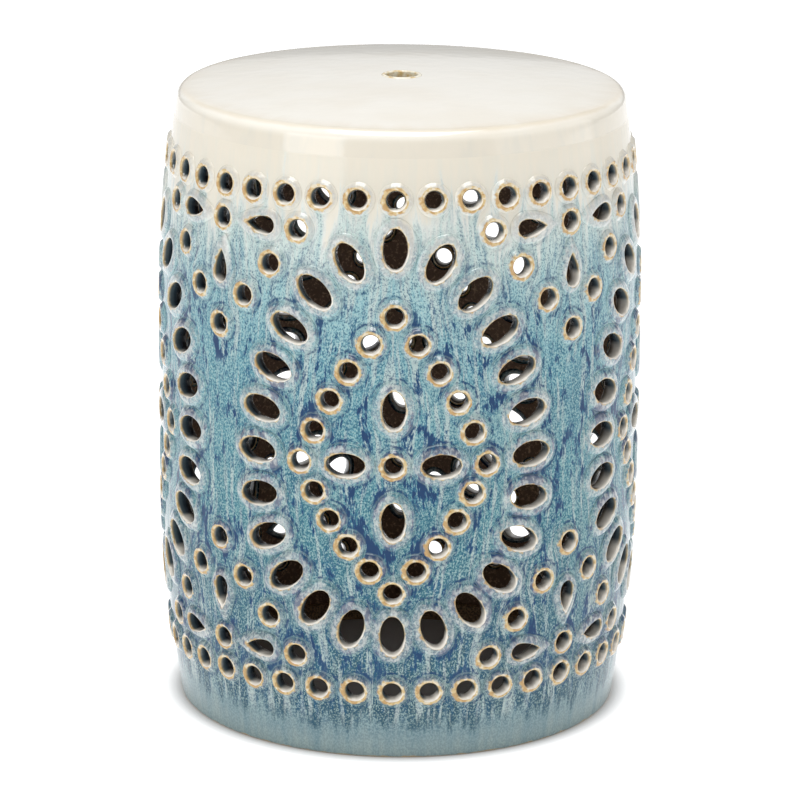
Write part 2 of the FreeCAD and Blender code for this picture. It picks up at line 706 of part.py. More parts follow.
def make_row_collars():
    """The collars of the upper and the lower row."""
    groups = []
    for label, height in ROWS.items():
        collar = make_collar("round", 0.0, height, 0.0)
        shapes = [turned(collar, 360.0 * number / row_count) for number in range(row_count)]
        groups.append(collar_group(label, shapes))
    return groups


def make_motif_collars(motifs, side_names, first_turn):
    """The collars of a motif, once for each of the four places round the stool."""
    groups = []
    for label, holes in motifs.items():
        shapes = both_sides(holes, make_collar)
        for side, name in enumerate(side_names):
            groups.append(collar_group(f"{name}_{label}", shapes, first_turn + QUARTER_TURN * side))
    return groups


def check(part):
    """Stop if a piece failed or holds no sound solid."""
    if "Invalid" in part.State or "Error" in part.State:
        raise ValueError(f"{part.Label} failed: {part.State}")
    if part.Shape.isNull() or not part.Shape.isValid() or not part.Shape.Solids:
        raise ValueError(f"{part.Label} has no valid shape")


def build():
    """Make every piece, check it and write it."""
    parts = [make_seat_top(), make_seat_hole_rim(), make_barrel_wall(), make_foot_ring()]
    parts += make_row_collars()
    parts += make_motif_collars(MEDALLION, SIDE_NAMES, 0.0)
    parts += make_motif_collars(SPANDREL, CORNER_NAMES, QUARTER_TURN / 2)
    doc.recompute()
    for item in doc.Objects:
        if "Invalid" in item.State or "Error" in item.State:
            raise ValueError(f"{item.Label} failed: {item.State}")
    for part in parts:
        check(part)
    os.makedirs("parts", exist_ok=True)
    for part in parts:
        part.Shape.exportStep(f"parts/{part.Label}.step")
        print(f"{part.Label}: {len(part.Shape.Solids)} solids, {part.Shape.Volume / 1000:.1f} cm3")


build()
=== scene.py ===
"""Looks of a glazed ceramic garden stool, built round its packed construction model.

The barrel, the collars round its holes, the seat, the rim of the finger hole and the foot are
modelled as one potter's surface: every collar runs out into the wall in a soft skirt of glaze, and
the glaze is painted by where it would run, so its streaks bend round the collars and pool above them.
Lengths inside the classes are in millimetres, and become metres where a vertex is placed.
"""
import logging
import math
import random
from dataclasses import dataclass, field
from enum import Enum

import bmesh
import bpy
import numpy as np
from bmesh.types import BMEdge, BMFace, BMesh, BMVert
from bpy.types import Material, Mesh, Node, NodeSocket, Object
from mathutils import Matrix, Vector
from mathutils.kdtree import KDTree


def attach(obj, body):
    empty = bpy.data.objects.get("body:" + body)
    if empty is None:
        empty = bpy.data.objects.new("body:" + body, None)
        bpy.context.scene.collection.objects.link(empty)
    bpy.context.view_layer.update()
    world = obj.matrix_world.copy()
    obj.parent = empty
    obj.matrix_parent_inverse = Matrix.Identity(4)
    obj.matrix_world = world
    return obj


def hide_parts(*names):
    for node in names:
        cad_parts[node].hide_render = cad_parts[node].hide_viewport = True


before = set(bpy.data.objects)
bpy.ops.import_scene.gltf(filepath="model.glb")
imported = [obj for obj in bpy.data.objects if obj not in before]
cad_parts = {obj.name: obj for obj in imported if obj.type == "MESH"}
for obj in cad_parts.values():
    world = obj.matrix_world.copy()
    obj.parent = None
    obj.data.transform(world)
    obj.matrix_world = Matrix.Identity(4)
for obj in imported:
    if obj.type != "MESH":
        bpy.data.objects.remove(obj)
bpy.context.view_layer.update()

Point = tuple[float, float]
Band = tuple[float, float]
Colour = tuple[float, float, float, float]
Facts = tuple[float, ...]

log = logging.getLogger("garden_stool")

MM = 0.001
FULL_TURN = 2 * math.pi
BODY = "root"
# Millimetres within which a vertex counts as on a face
TOUCHING = 0.01
SHARP_ANGLE = math.radians(35)
# Share of half a leaf's outline that its flank takes
LEAF_FLANK_SHARE = 0.6
# Where the middle of a collar lies, as a share of half the wall
MIDDLE_DEPTH = 0.7
# Corners on one point of this grid are one corner, and the keys make one number of a point
GRID_PER_MM = 1000
GRID_KEYS = np.array([1, 1 << 21, 1 << 42])
GLAZE_FACTS = ("skirt", "share", "rise", "above", "right", "luck", "pool")
# The first two glaze facts, far from any collar
FAR_SKIRT, FAR_SHARE = 60.0, 9.0


class HoleShape(Enum):
    """The kinds of hole in the wall."""

    ROUND = "round"
    OVAL = "oval"
    PETAL = "petal"
    LEAF = "leaf"


class Slot(Enum):
    """Material slots."""

    SEAT = "seat_glaze"
    RIM = "rim_glaze"
    BARREL = "barrel_glaze"
    ROUND_COLLAR = "round_collar_glaze"
    OVAL_COLLAR = "oval_collar_glaze"
    FOOT = "foot_glaze"


def on_circle(radius: float, around: float, height: float) -> Vector:
    """Point of a circle round the stool's axis, in metres."""
    return Vector((radius * math.sin(around), -radius * math.cos(around), height)) * MM


@dataclass(frozen=True)
class BarrelLine:
    """Outer line of the barrel: a curve, a straight belly and a second curve."""

    belly: float = 172.5
    foot_inset: float = 12.9
    shoulder_inset: float = 12.2
    low: float = 165.0
    high: float = 290.0
    upper_curve: float = 162.6
    wall: float = 7.5
    seam: float = 434.6
    shoulder: float = 452.6
    crown: float = 460.4

    def curve(self, height: float) -> Point:
        """Radius of the curve at a height, and how far the height lies up along it.

        Args:
            height: Height on the wall.

        Returns:
            The radius and the distance up.
        """
        if height < self.low:
            return (self.low ** 2 + self.foot_inset ** 2) / (2 * self.foot_inset), height - self.low
        bend = (self.upper_curve ** 2 + self.shoulder_inset ** 2) / (2 * self.shoulder_inset)
        return bend, max(height - self.high, 0.0)

    def tilt(self, height: float) -> float:
        """Angle of the outward normal above the horizontal."""
        bend, along = self.curve(height)
        return math.asin(along / bend)

    def radius(self, height: float, outward: float = 0.0) -> float:
        """Radius at a height, on the line moved outward."""
        bend, along = self.curve(height)
        return self.belly - bend + math.sqrt((bend + outward) ** 2 - along ** 2)

    def place(self, around: float, height: float, outward: float = 0.0) -> Vector:
        """Point over the wall, in metres.

        Args:
            around: Angle from the front, towards the right.
            height: Height of its foot on the wall.
            outward: Distance from the wall's outer surface.

        Returns:
            The point in the object's frame.
        """
        lift = self.tilt(height)
        reach = self.radius(height) + outward * math.cos(lift)
        return on_circle(reach, around, height + outward * math.sin(lift))

    def unbent(self, around: np.ndarray, height: np.ndarray) -> np.ndarray:
        """Points on a drum as wide as the belly, in millimetres, one row each."""
        return np.stack([self.belly * np.sin(around), -self.belly * np.cos(around), height], axis=1)


@dataclass(frozen=True)
class CollarForm:
    """Section and outline of one kind of collar.

    The section's points are (distance out from the hole's edge, height over the wall), and they are
    the cage of a smooth surface.
    """

    half_length: float
    half_width: float
    band: float
    skirt: float
    segments: int
    section: tuple[Point, ...]
    tip: float = 0.0

    def outline(self, share: float, out: float) -> Point:
        """Point of the outline, a distance out from the hole's edge.

        Args:
            share: Way round, from 0 at the end on the long axis.
            out: Distance from the hole's edge.

        Returns:
            The point with the long axis along x.
        """
        if self.tip:
            return self.leaf(share, out)
        turn = FULL_TURN * share
        return (self.half_length + out) * math.cos(turn), (self.half_width + out) * math.sin(turn)

    def leaf(self, share: float, out: float) -> Point:
        """Point of the leaf's outline: two flanks from the tip at x, and a half circle.

        Args:
            share: Way round, from 0 at the tip.
            out: Distance from the hole's edge.

        Returns:
            The point with the tip along x.
        """
        tip_out = out * self.tip / self.band
        blunt = self.half_width + out
        heel, tip = -self.half_length - out, self.half_length + tip_out
        start = heel + blunt
        reach = tip - start
        flank = (reach ** 2 + blunt ** 2) / (2 * blunt)
        mirrored = share > 0.5
        way = 2 * (1 - share if mirrored else share)
        if way < LEAF_FLANK_SHARE:
            sweep = math.asin(min(reach / flank, 1.0)) * (1 - way / LEAF_FLANK_SHARE)
            x, y = start + flank * math.sin(sweep), blunt - flank * (1 - math.cos(sweep))
        else:
            turn = math.pi / 2 * (1 + (way - LEAF_FLANK_SHARE) / (1 - LEAF_FLANK_SHARE))
            x, y = start + blunt * math.cos(turn), blunt * math.sin(turn)
        return x, -y if mirrored else y


ROUND_SECTION = (
    (-0.4, -8.1), (-1.5, -0.8), (0.2, 2.75), (2.5, 2.82),
    (3.8, 1.2), (6.3, -0.25), (2.2, -1.6), (2.7, -7.9),
)
OVAL_SECTION = (
    (0.3, -8.1), (-0.1, 0.0), (0.2, 2.7), (2.9, 2.82),
    (5.7, 1.7), (8.9, -0.3), (3.6, -1.6), (4.4, -7.9),
)
LEAF_SECTION = (
    (0.3, -8.1), (-0.1, 0.0), (0.2, 2.7), (2.5, 2.82),
    (4.8, 1.5), (7.4, -0.3), (2.8, -1.6), (3.5, -7.9),
)
FORMS = {
    HoleShape.ROUND: CollarForm(7.0, 7.0, 3.2, 4.9, 8, ROUND_SECTION),
    HoleShape.OVAL: CollarForm(14.25, 8.25, 5.0, 7.2, 12, OVAL_SECTION),
    HoleShape.PETAL: CollarForm(13.5, 8.0, 5.0, 7.2, 12, OVAL_SECTION),
    HoleShape.LEAF: CollarForm(10.75, 5.75, 4.2, 6.2, 14, LEAF_SECTION, tip=9.3),
}


@dataclass(frozen=True)
class CollarPlace:
    """Where one collar sits on the wall, read from the construction model."""

    shape: HoleShape
    around: float
    height: float
    turn: float
    luck: float

    @property
    def form(self) -> CollarForm:
        """Section and outline of this collar's kind."""
        return FORMS[self.shape]

    def spread(self, x: float, y: float, line: BarrelLine) -> Point:
        """Angle and height on the wall of a point given in the collar's own plane.

        Args:
            x: Place along the collar's long axis.
            y: Place across it.
            line: The barrel's outer line.

        Returns:
            The angle and height.
        """
        across = x * math.cos(self.turn) - y * math.sin(self.turn)
        up = x * math.sin(self.turn) + y * math.cos(self.turn)
        around = self.around + across / line.radius(self.height)
        return around, self.height + up * math.cos(line.tilt(self.height))


def shape_of(node: str) -> HoleShape:
    """Kind of the holes that a node's collars line.

    Args:
        node: The node's name.

    Returns:
        The kind.
    """
    for word, shape in (("ring", HoleShape.OVAL), ("petal", HoleShape.PETAL), ("leaf", HoleShape.LEAF)):
        if word in node:
            return shape
    return HoleShape.ROUND


def solids_of(mesh: Mesh) -> list[np.ndarray]:
    """Split a node of the construction model into its separate solids.

    Args:
        mesh: Loose triangles, with several corners in each place.

    Returns:
        The triangles of each solid, as corner points in millimetres.
    """
    points = np.empty(len(mesh.vertices) * 3)
    mesh.vertices.foreach_get("co", points)
    points = points.reshape(-1, 3) / MM
    corners = np.empty(len(mesh.loops), np.int64)
    mesh.loops.foreach_get("vertex_index", corners)
    grid = np.round(points * GRID_PER_MM).astype(np.int64) @ GRID_KEYS
    _, merged = np.unique(grid, return_inverse=True)
    triangles = merged.ravel()[corners].reshape(-1, 3)
    label = np.arange(triangles.max() + 1)
    while True:
        lowest = label[triangles].min(axis=1)
        fresh = label.copy()
        np.minimum.at(fresh, triangles.ravel(), np.repeat(lowest, 3))
        fresh = fresh[fresh]
        if (fresh == label).all():
            break
        label = fresh
    owner = label[triangles[:, 0]]
    placed = points[corners].reshape(-1, 3, 3)
    return [placed[owner == one] for one in np.unique(owner)]


def long_axis(flat: np.ndarray) -> tuple[np.ndarray, np.ndarray]:
    """Centre of area of flat triangles, and the direction in which they spread most.

    Args:
        flat: Triangles, as corner points in two directions.

    Returns:
        The centre and the direction.
    """
    edge_a, edge_b = flat[:, 1] - flat[:, 0], flat[:, 2] - flat[:, 0]
    area = np.abs(edge_a[:, 0] * edge_b[:, 1] - edge_a[:, 1] * edge_b[:, 0])
    centres = flat.mean(axis=1)
    heart = (centres * area[:, None]).sum(axis=0) / area.sum()
    spread = np.cov((centres - heart).T, aweights=area)
    return heart, np.linalg.eigh(spread)[1][:, 1]


def read_place(solid: np.ndarray, shape: HoleShape, line: BarrelLine) -> CollarPlace:
    """Read where a collar sits, from the triangles of its solid.

    Args:
        solid: The triangles, as corner points in millimetres.
        shape: Kind of the hole that the collar lines.
        line: The barrel's outer line.

    Returns:
        The collar's place on the wall.
    """
    form = FORMS[shape]
    middle = solid.reshape(-1, 3).mean(axis=0)
    facing = math.atan2(middle[0], -middle[1])
    across = np.array([math.cos(facing), math.sin(facing), 0.0])
    flat = np.stack([solid @ across, solid[:, :, 2]], axis=-1)
    flat -= flat.reshape(-1, 2).mean(axis=0)
    heart, axis = long_axis(flat)
    if shape is HoleShape.ROUND:
        axis = np.array([1.0, 0.0])
    along = flat.reshape(-1, 2) @ axis
    if along.max() - heart @ axis < heart @ axis - along.min():
        axis, along = -axis, -along
    square = np.array([-axis[1], axis[0]])
    side = flat.reshape(-1, 2) @ square
    start = (along.max() + along.min()) / 2
    if shape is HoleShape.LEAF:
        start = along.min() + form.band + form.half_length
    centre = axis * start + square * (side.max() + side.min()) / 2
    base = np.array([middle @ across, middle[2]]) + centre
    height = float(base[1])
    height += line.wall / 2 * MIDDLE_DEPTH * math.sin(line.tilt(height))
    around = facing + math.asin(float(base[0]) / line.radius(height))
    luck = random.Random(f"{facing:.2f} {height:.1f}").random()
    return CollarPlace(shape, around, height, math.atan2(axis[1], axis[0]), luck)


@dataclass
class GlazeFlow:
    """How molten glaze runs down the wall and round its collars."""

    line: BarrelLine
    places: list[CollarPlace]
    reach: float = 40.0
    samples: int = 28
    edges: KDTree = field(init=False)
    owners: list[CollarPlace] = field(init=False, default_factory=list)

    def __post_init__(self) -> None:
        """Lay points along the edge of every hole, for measuring distances to it."""
        self.edges = KDTree(len(self.places) * self.samples)
        for place in self.places:
            for step in range(self.samples):
                around, height = place.spread(*place.form.outline(step / self.samples, 0.0), self.line)
                self.edges.insert(self.line.place(around, height), len(self.owners))
                self.owners.append(place)
        self.edges.balance()

    def runs(self, around: np.ndarray, height: np.ndarray) -> tuple[np.ndarray, np.ndarray]:
        """Place from which each drop of glaze set out, bent round the collars on its way.

        Args:
            around: Angles of the points.
            height: Heights of the points.

        Returns:
            Points in millimetres, one row each, and how much glaze pools there above a collar.
        """
        shift, pool = np.zeros(len(around)), np.zeros(len(around))
        for place in self.places:
            across = (around - place.around + math.pi) % FULL_TURN - math.pi
            across *= self.line.belly
            rise = height - place.height
            distance = np.hypot(across, rise)
            near = distance < self.reach
            size = (place.form.half_length + place.form.half_width) / 2 + place.form.band
            held = size ** 2 / np.maximum(distance[near], size) ** 2
            fade = (1 - distance[near] / self.reach) ** 2
            shift[near] -= held * across[near] * fade
            pool[near] += held * fade * np.maximum(rise[near], 0.0) / np.maximum(distance[near], 1.0)
        return self.line.unbent(around + shift / self.line.belly, height), pool

    def nearest(self, point: Vector) -> tuple[CollarPlace, float]:
        """The collar nearest to a point on the wall, and how far its hole's edge is."""
        _, number, distance = self.edges.find(point)
        return self.owners[number], distance / MM

    def paint(self, mesh: Mesh, spots: np.ndarray, facts: np.ndarray) -> None:
        """Store on each vertex where its glaze ran from, and its glaze facts.

        Args:
            mesh: The mesh to write on.
            spots: Angle and height of each vertex, one row each.
            facts: Every glaze fact but the last, one row for each vertex.
        """
        runs, pool = self.runs(spots[:, 0], spots[:, 1])
        paint_attributes(mesh, runs, np.column_stack([facts, pool]))


def paint_attributes(mesh: Mesh, runs: np.ndarray, facts: np.ndarray) -> None:
    """Store what the glaze needs to know on each vertex, which has a row in both arrays.

    Args:
        mesh: The mesh to write on.
        runs: Where each vertex's glaze ran from, in millimetres.
        facts: The glaze facts in their order.
    """
    layer = mesh.attributes.new("run", "FLOAT_VECTOR", "POINT")
    layer.data.foreach_set("vector", runs.astype(np.float32).ravel())
    for name, numbers in zip(GLAZE_FACTS, facts.T):
        layer = mesh.attributes.new(name, "FLOAT", "POINT")
        layer.data.foreach_set("value", numbers.astype(np.float32))


def mesh_of(bm: BMesh, name: str) -> Mesh:
    """Make a mesh of a working mesh, which is then done with.

    Args:
        bm: The working mesh, which is freed.
        name: The new mesh's name.

    Returns:
        The mesh.
    """
    mesh = bpy.data.meshes.new(name)
    bm.to_mesh(mesh)
    bm.free()
    return mesh


def add_object(name: str, data: bpy.types.ID) -> Object:
    """Put a new object into the scene.

    Args:
        name: Its name.
        data: Its mesh, light or camera.

    Returns:
        The object.
    """
    made = bpy.data.objects.new(name, data)
    bpy.context.scene.collection.objects.link(made)
    return made


def raise_copy(bm: BMesh, faces: list[BMFace], rise: float) -> None:
    """Extrude faces upward, and keep the faces that they came from.

    Args:
        bm: The working mesh.
        faces: The faces.
        rise: How far they go up.
    """
    grown = bmesh.ops.extrude_face_region(bm, geom=faces, use_keep_orig=True)["geom"]
    lifted = [item for item in grown if isinstance(item, BMVert)]
    bmesh.ops.translate(bm, vec=(0.0, 0.0, rise), verts=lifted)


def round_edges(bm: BMesh, edges: list[BMEdge], size: float, steps: int) -> None:
    """Round edges, each side of which is cut back by a size."""
    bmesh.ops.bevel(bm, geom=edges, offset=size, offset_type="OFFSET", affect="EDGES",
                    segments=steps, profile=0.5, material=-1)


def keep_sharp_edges(bm: BMesh) -> None:
    """Keep hard edges where faces meet at a sharp angle.

    Args:
        bm: The working mesh.
    """
    bm.normal_update()
    for edge in bm.edges:
        edge.smooth = edge.calc_face_angle(0.0) < SHARP_ANGLE


def finish_piece(name: str, mesh: Mesh, node: str, materials: list[Material]) -> Object:
    """Make an object of a mesh, dress it and let it stand for a node.

    Args:
        name: The piece's name.
        mesh: Its mesh, in place.
        node: The node of the construction model that it stands for.
        materials: The materials, in the order of the mesh's material numbers.

    Returns:
        The new object.
    """
    piece = add_object(name, mesh)
    for material in materials:
        mesh.materials.append(material)
    mesh.shade_smooth()
    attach(piece, BODY)
    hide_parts(node)
    return piece


@dataclass
class Collars:
    """The collars of one node: rings of clay with a soft skirt of glaze."""

    node: str
    line: BarrelLine
    flow: GlazeFlow
    places: list[CollarPlace]
    levels: int = 2
    tip_crease: float = 0.55

    def build(self, material: Material, slot: Slot) -> Object:
        """Make every ring of the node and dress them.

        Args:
            material: The collars' material.
            slot: Not used.

        Returns:
            The finished piece.
        """
        bm = bmesh.new()
        facts: list[Facts] = []
        for place in self.places:
            self.add_ring(bm, place, facts)
        bmesh.ops.recalc_face_normals(bm, faces=bm.faces)
        mesh = mesh_of(bm, self.node)
        rows = np.array(facts)
        self.flow.paint(mesh, rows[:, :2], rows[:, 2:])
        piece = finish_piece(self.node.removesuffix("s") + "_rings", mesh, self.node, [material])
        smooth = piece.modifiers.new("Smooth", "SUBSURF")
        smooth.levels = smooth.render_levels = self.levels
        return piece

    def add_ring(self, bm: BMesh, place: CollarPlace, facts: list[Facts]) -> None:
        """Add one ring: a circle, extruded through the points of its section and closed.

        Args:
            bm: The mesh of the node's rings.
            place: Where the ring sits.
            facts: Angle, height and glaze facts of every vertex so far, which this adds to.
        """
        crease = bm.edges.layers.float.get("crease_edge") or bm.edges.layers.float.new("crease_edge")
        ring = bmesh.ops.create_circle(bm, segments=place.form.segments, radius=1.0)["verts"]
        first = edges = list(set().union(*(vert.link_edges for vert in ring)))
        for number, (out, rise) in enumerate(place.form.section):
            if number:
                grown = bmesh.ops.extrude_edge_only(bm, edges=edges)["geom"]
                fresh = {item for item in grown if isinstance(item, BMVert)}
                risers = [next(edge for edge in vert.link_edges if edge.other_vert(vert) in fresh)
                          for vert in ring]
                ring = [edge.other_vert(vert) for edge, vert in zip(risers, ring)]
                edges = [edge for edge in set().union(*(vert.link_edges for vert in ring))
                         if all(vert in fresh for vert in edge.verts)]
                if place.form.tip:
                    risers[0][crease] = self.tip_crease
            self.set_ring(ring, place, out, rise, facts)
        bmesh.ops.bridge_loops(bm, edges=first + edges)

    def set_ring(
        self, ring: list[BMVert], place: CollarPlace, out: float, rise: float, facts: list[Facts]
    ) -> None:
        """Move a ring of vertices to its distance from the hole and its height over the wall.

        The cage is swelled, because a smooth curve runs inside its cage.

        Args:
            ring: The vertices, in order.
            place: Where the collar sits.
            out: Distance from the hole's edge.
            rise: Height over the wall.
            facts: Angle, height and glaze facts of every vertex, which this adds to.
        """
        form = place.form
        swell = 3 / (2 + math.cos(FULL_TURN / form.segments))
        for number, vert in enumerate(ring):
            x, y = form.outline(number / len(ring), out)
            around, height = place.spread(x * swell, y * swell, self.line)
            vert.co = self.line.place(around, height, rise)
            up = place.turn + math.atan2(y, x)
            facts.append((
                around, height, out - form.skirt, out / form.skirt, rise,
                math.sin(up), math.cos(up), place.luck,
            ))


@dataclass
class BarrelWall:
    """The pierced wall: a flat slab of clay, cut, then bent round into the barrel."""

    line: BarrelLine
    flow: GlazeFlow
    places: list[CollarPlace]
    node: str = "barrel_wall"
    columns: int = 120
    rows: int = 48
    cuts: int = 2
    foot_round: float = 2.0
    slip: float = 0.1
    level_foot: float = 25.0
    level_top: float = 14.0
    foot_steps: int = 4
    round_points: int = 20
    long_points: int = 28
    overshoot: float = 5.0
    weld: float = 0.02

    @property
    def half(self) -> float:
        """Half the way round the belly."""
        return math.pi * self.line.belly

    def slab(self) -> Mesh:
        """Flat slab as long as the way round the belly, with a rounded foot.

        Returns:
            The slab's mesh.
        """
        bm = bmesh.new()
        bmesh.ops.create_grid(bm, x_segments=self.columns, y_segments=self.rows, size=1.0)
        scale = Matrix.Diagonal((self.half, self.line.seam / 2, 1.0, 1.0))
        lift = Matrix.Translation((0.0, self.line.seam / 2, -self.line.wall))
        bmesh.ops.transform(bm, matrix=lift @ scale, verts=bm.verts)
        raise_copy(bm, list(bm.faces), self.line.wall)
        bmesh.ops.recalc_face_normals(bm, faces=bm.faces)
        top = [edge for edge in bm.edges if all(abs(vert.co.z) < TOUCHING for vert in edge.verts)]
        bmesh.ops.subdivide_edges(bm, edges=top, cuts=self.cuts, use_grid_fill=True)
        foot = [edge for edge in bm.edges
                if all(abs(vert.co.z) < TOUCHING and vert.co.y < TOUCHING for vert in edge.verts)]
        round_edges(bm, foot, self.foot_round, self.foot_steps)
        return mesh_of(bm, "slab")

    def cutters(self) -> Mesh:
        """Prisms in the outline of every hole's collar, with the slip's gap.

        Returns:
            The prisms' mesh.
        """
        bm = bmesh.new()
        for place in self.places:
            form = place.form
            count = self.round_points if place.shape is HoleShape.ROUND else self.long_points
            reach = (form.half_length + form.band + form.tip) / self.line.belly
            for turn in (-FULL_TURN, 0.0, FULL_TURN):
                if abs(place.around + turn) - reach <= math.pi:
                    self.add_prism(bm, place, turn, count)
        bmesh.ops.recalc_face_normals(bm, faces=bm.faces)
        return mesh_of(bm, "cutters")

    def add_prism(self, bm: BMesh, place: CollarPlace, turn: float, count: int) -> None:
        """Add one hole's prism, through the slab and out of both its faces.

        Args:
            bm: The mesh of the prisms.
            place: Where the collar sits.
            turn: Added to its angle, for a hole at the slab's end.
            count: Number of the prism's sides.
        """
        form = place.form
        verts = bmesh.ops.create_circle(bm, cap_ends=True, segments=count, radius=1.0)["verts"]
        for number, vert in enumerate(verts):
            around, height = place.spread(*form.outline(number / count, form.band + self.slip), self.line)
            vert.co = ((around + turn) * self.line.belly, height, -self.line.wall - self.overshoot)
        raise_copy(bm, list(set(verts[0].link_faces)), self.line.wall + 2 * self.overshoot)

    def pierced(self) -> BMesh:
        """The slab with its holes cut.

        Returns:
            The cut slab.
        """
        slab, cutters = add_object("slab", self.slab()), add_object("cutters", self.cutters())
        cut = slab.modifiers.new("Holes", "BOOLEAN")
        cut.object, cut.operation, cut.solver = cutters, "DIFFERENCE", "MANIFOLD"
        bpy.context.view_layer.update()
        shape = slab.evaluated_get(bpy.context.evaluated_depsgraph_get())
        bm = bmesh.new()
        bm.from_mesh(shape.to_mesh())
        shape.to_mesh_clear()
        for item in (slab, cutters):
            mesh = item.data
            bpy.data.objects.remove(item)
            bpy.data.meshes.remove(mesh)
        return bm

    def bend(self, x: float, height: float, outward: float) -> Vector:
        """Point of the slab on the barrel: square to the wall, and level at its foot and top.

        Args:
            x: Place along the slab.
            height: Height.
            outward: Distance from the wall's outer surface.

        Returns:
            The point, in metres.
        """
        around = x / self.line.belly
        square = self.line.place(around, height, outward)
        level = on_circle(self.line.radius(height, outward), around, height)
        share = min(height / self.level_foot, (self.line.seam - height) / self.level_top, 1.0)
        return level.lerp(square, max(share, 0.0))

    def build(self, glaze: Material, inside: Material) -> Object:
        """Cut the slab, bend it, join its ends and dress it.

        Args:
            glaze: Material of the outer faces and the holes.
            inside: Material of the faces that look into the barrel.

        Returns:
            The finished piece.
        """
        bm = self.pierced()
        ends = [face for face in bm.faces
                if all(abs(abs(vert.co.x) - self.half) < TOUCHING for vert in face.verts)]
        bmesh.ops.delete(bm, geom=ends, context="FACES_ONLY")
        for face in bm.faces:
            face.material_index = int(all(vert.co.z < TOUCHING - self.line.wall for vert in face.verts))
        flat = bm.verts.layers.float_vector.new("flat")
        for vert in bm.verts:
            vert[flat] = vert.co
            vert.co = self.bend(*vert.co)
        bmesh.ops.remove_doubles(bm, verts=bm.verts, dist=self.weld * MM)
        long = [face for face in bm.faces if len(face.verts) > 4]
        bmesh.ops.triangulate(bm, faces=long, quad_method="BEAUTY", ngon_method="BEAUTY")
        keep_sharp_edges(bm)
        spots = np.array([(vert[flat].x / self.line.belly, vert[flat].y) for vert in bm.verts])
        facts = np.array([self.facts(vert) for vert in bm.verts])
        bm.verts.layers.float_vector.remove(flat)
        mesh = mesh_of(bm, self.node)
        self.flow.paint(mesh, spots, facts)
        return finish_piece("barrel_wall_glazed", mesh, self.node, [glaze, inside])

    def facts(self, vert: BMVert) -> Facts:
        """Glaze facts of a point of the wall, from the nearest collar.

        Args:
            vert: The point, bent into place.

        Returns:
            Every glaze fact but the last, in order.
        """
        place, distance = self.flow.nearest(vert.co)
        around = math.atan2(vert.co.x, -vert.co.y) - place.around
        across = ((around + math.pi) % FULL_TURN - math.pi) * self.line.belly
        up = math.atan2(vert.co.z / MM - place.height, across)
        form = place.form
        return distance - form.skirt, distance / form.skirt, 0.0, math.sin(up), math.cos(up), place.luck


@dataclass
class TurnedPiece:
    """A piece turned on the wheel: a half section, spun round, with some of its edges rounded."""

    name: str
    node: str
    slot: Slot
    section: list[Point]
    rounded: list[tuple[Point, float]]
    inside_below: float
    steps: int = 160
    round_steps: int = 8
    weld: float = 0.001
    downward: float = -0.3

    def build(self, line: BarrelLine, glaze: Material, inside: Material) -> Object:
        """Spin the section, round its edges and dress the piece.

        Args:
            line: The barrel's outer line.
            glaze: Material of the outer faces.
            inside: Material of the faces that look into the barrel.

        Returns:
            The finished piece.
        """
        bm = bmesh.new()
        verts = [bm.verts.new((radius, 0.0, height)) for radius, height in self.section]
        edges = [bm.edges.new(pair) for pair in zip(verts, verts[1:] + verts[:1])]
        bmesh.ops.spin(bm, geom=verts + edges, cent=(0.0, 0.0, 0.0), axis=(0.0, 0.0, 1.0),
                       angle=FULL_TURN, steps=self.steps, use_merge=True, use_duplicate=False)
        bmesh.ops.remove_doubles(bm, verts=bm.verts, dist=self.weld)
        bmesh.ops.recalc_face_normals(bm, faces=bm.faces)
        for corner, size in self.rounded:
            ring = [edge for edge in bm.edges if all(self.at(vert, corner) for vert in edge.verts)]
            round_edges(bm, ring, self.cut_back(corner, size), self.round_steps)
        bmesh.ops.scale(bm, vec=(MM, MM, MM), verts=bm.verts)
        keep_sharp_edges(bm)
        for face in bm.faces:
            face.material_index = int(self.looks_in(face))
        mesh = mesh_of(bm, self.node)
        points = np.array([tuple(vert.co) for vert in mesh.vertices]) / MM
        runs = line.unbent(np.arctan2(points[:, 0], -points[:, 1]), points[:, 2])
        facts = np.zeros((len(points), len(GLAZE_FACTS)))
        facts[:, :2] = FAR_SKIRT, FAR_SHARE
        paint_attributes(mesh, runs, facts)
        return finish_piece(self.name, mesh, self.node, [glaze, inside])

    @staticmethod
    def at(vert: BMVert, corner: Point) -> bool:
        """True if a vertex lies on the circle that a corner of the section makes."""
        return math.dist((math.hypot(vert.co.x, vert.co.y), vert.co.z), corner) < 2 * TOUCHING

    def cut_back(self, corner: Point, size: float) -> float:
        """How far a rounding of a radius cuts each side of its corner back.

        Args:
            corner: A corner of the section.
            size: Radius of its rounding.

        Returns:
            The distance along each side.
        """
        number = min(range(len(self.section)), key=lambda i: math.dist(self.section[i], corner))
        before = Vector(self.section[number - 1]) - Vector(corner)
        after = Vector(self.section[(number + 1) % len(self.section)]) - Vector(corner)
        return size / math.tan(before.angle(after) / 2)

    def looks_in(self, face: BMFace) -> bool:
        """True if a face looks into the barrel.

        Args:
            face: A face of the spun section.

        Returns:
            Whether it does.
        """
        middle = face.calc_center_median()
        inward = face.normal.x * middle.x + face.normal.y * middle.y < 0
        return (inward or face.normal.z < self.downward) and middle.z < self.inside_below * MM


def arc(centre: Point, radius: float, start: Point, end: Point, steps: int) -> list[Point]:
    """Points of an arc of a half section, both ends among them.

    Args:
        centre: Its centre.
        radius: Its radius.
        start: Its first point.
        end: Its last point.
        steps: Number of pieces.

    Returns:
        The points in order.
    """
    first = math.atan2(start[1] - centre[1], start[0] - centre[0])
    last = math.atan2(end[1] - centre[1], end[0] - centre[0])
    turns = [first + (last - first) * step / steps for step in range(steps + 1)]
    return [(centre[0] + radius * math.cos(turn), centre[1] + radius * math.sin(turn)) for turn in turns]


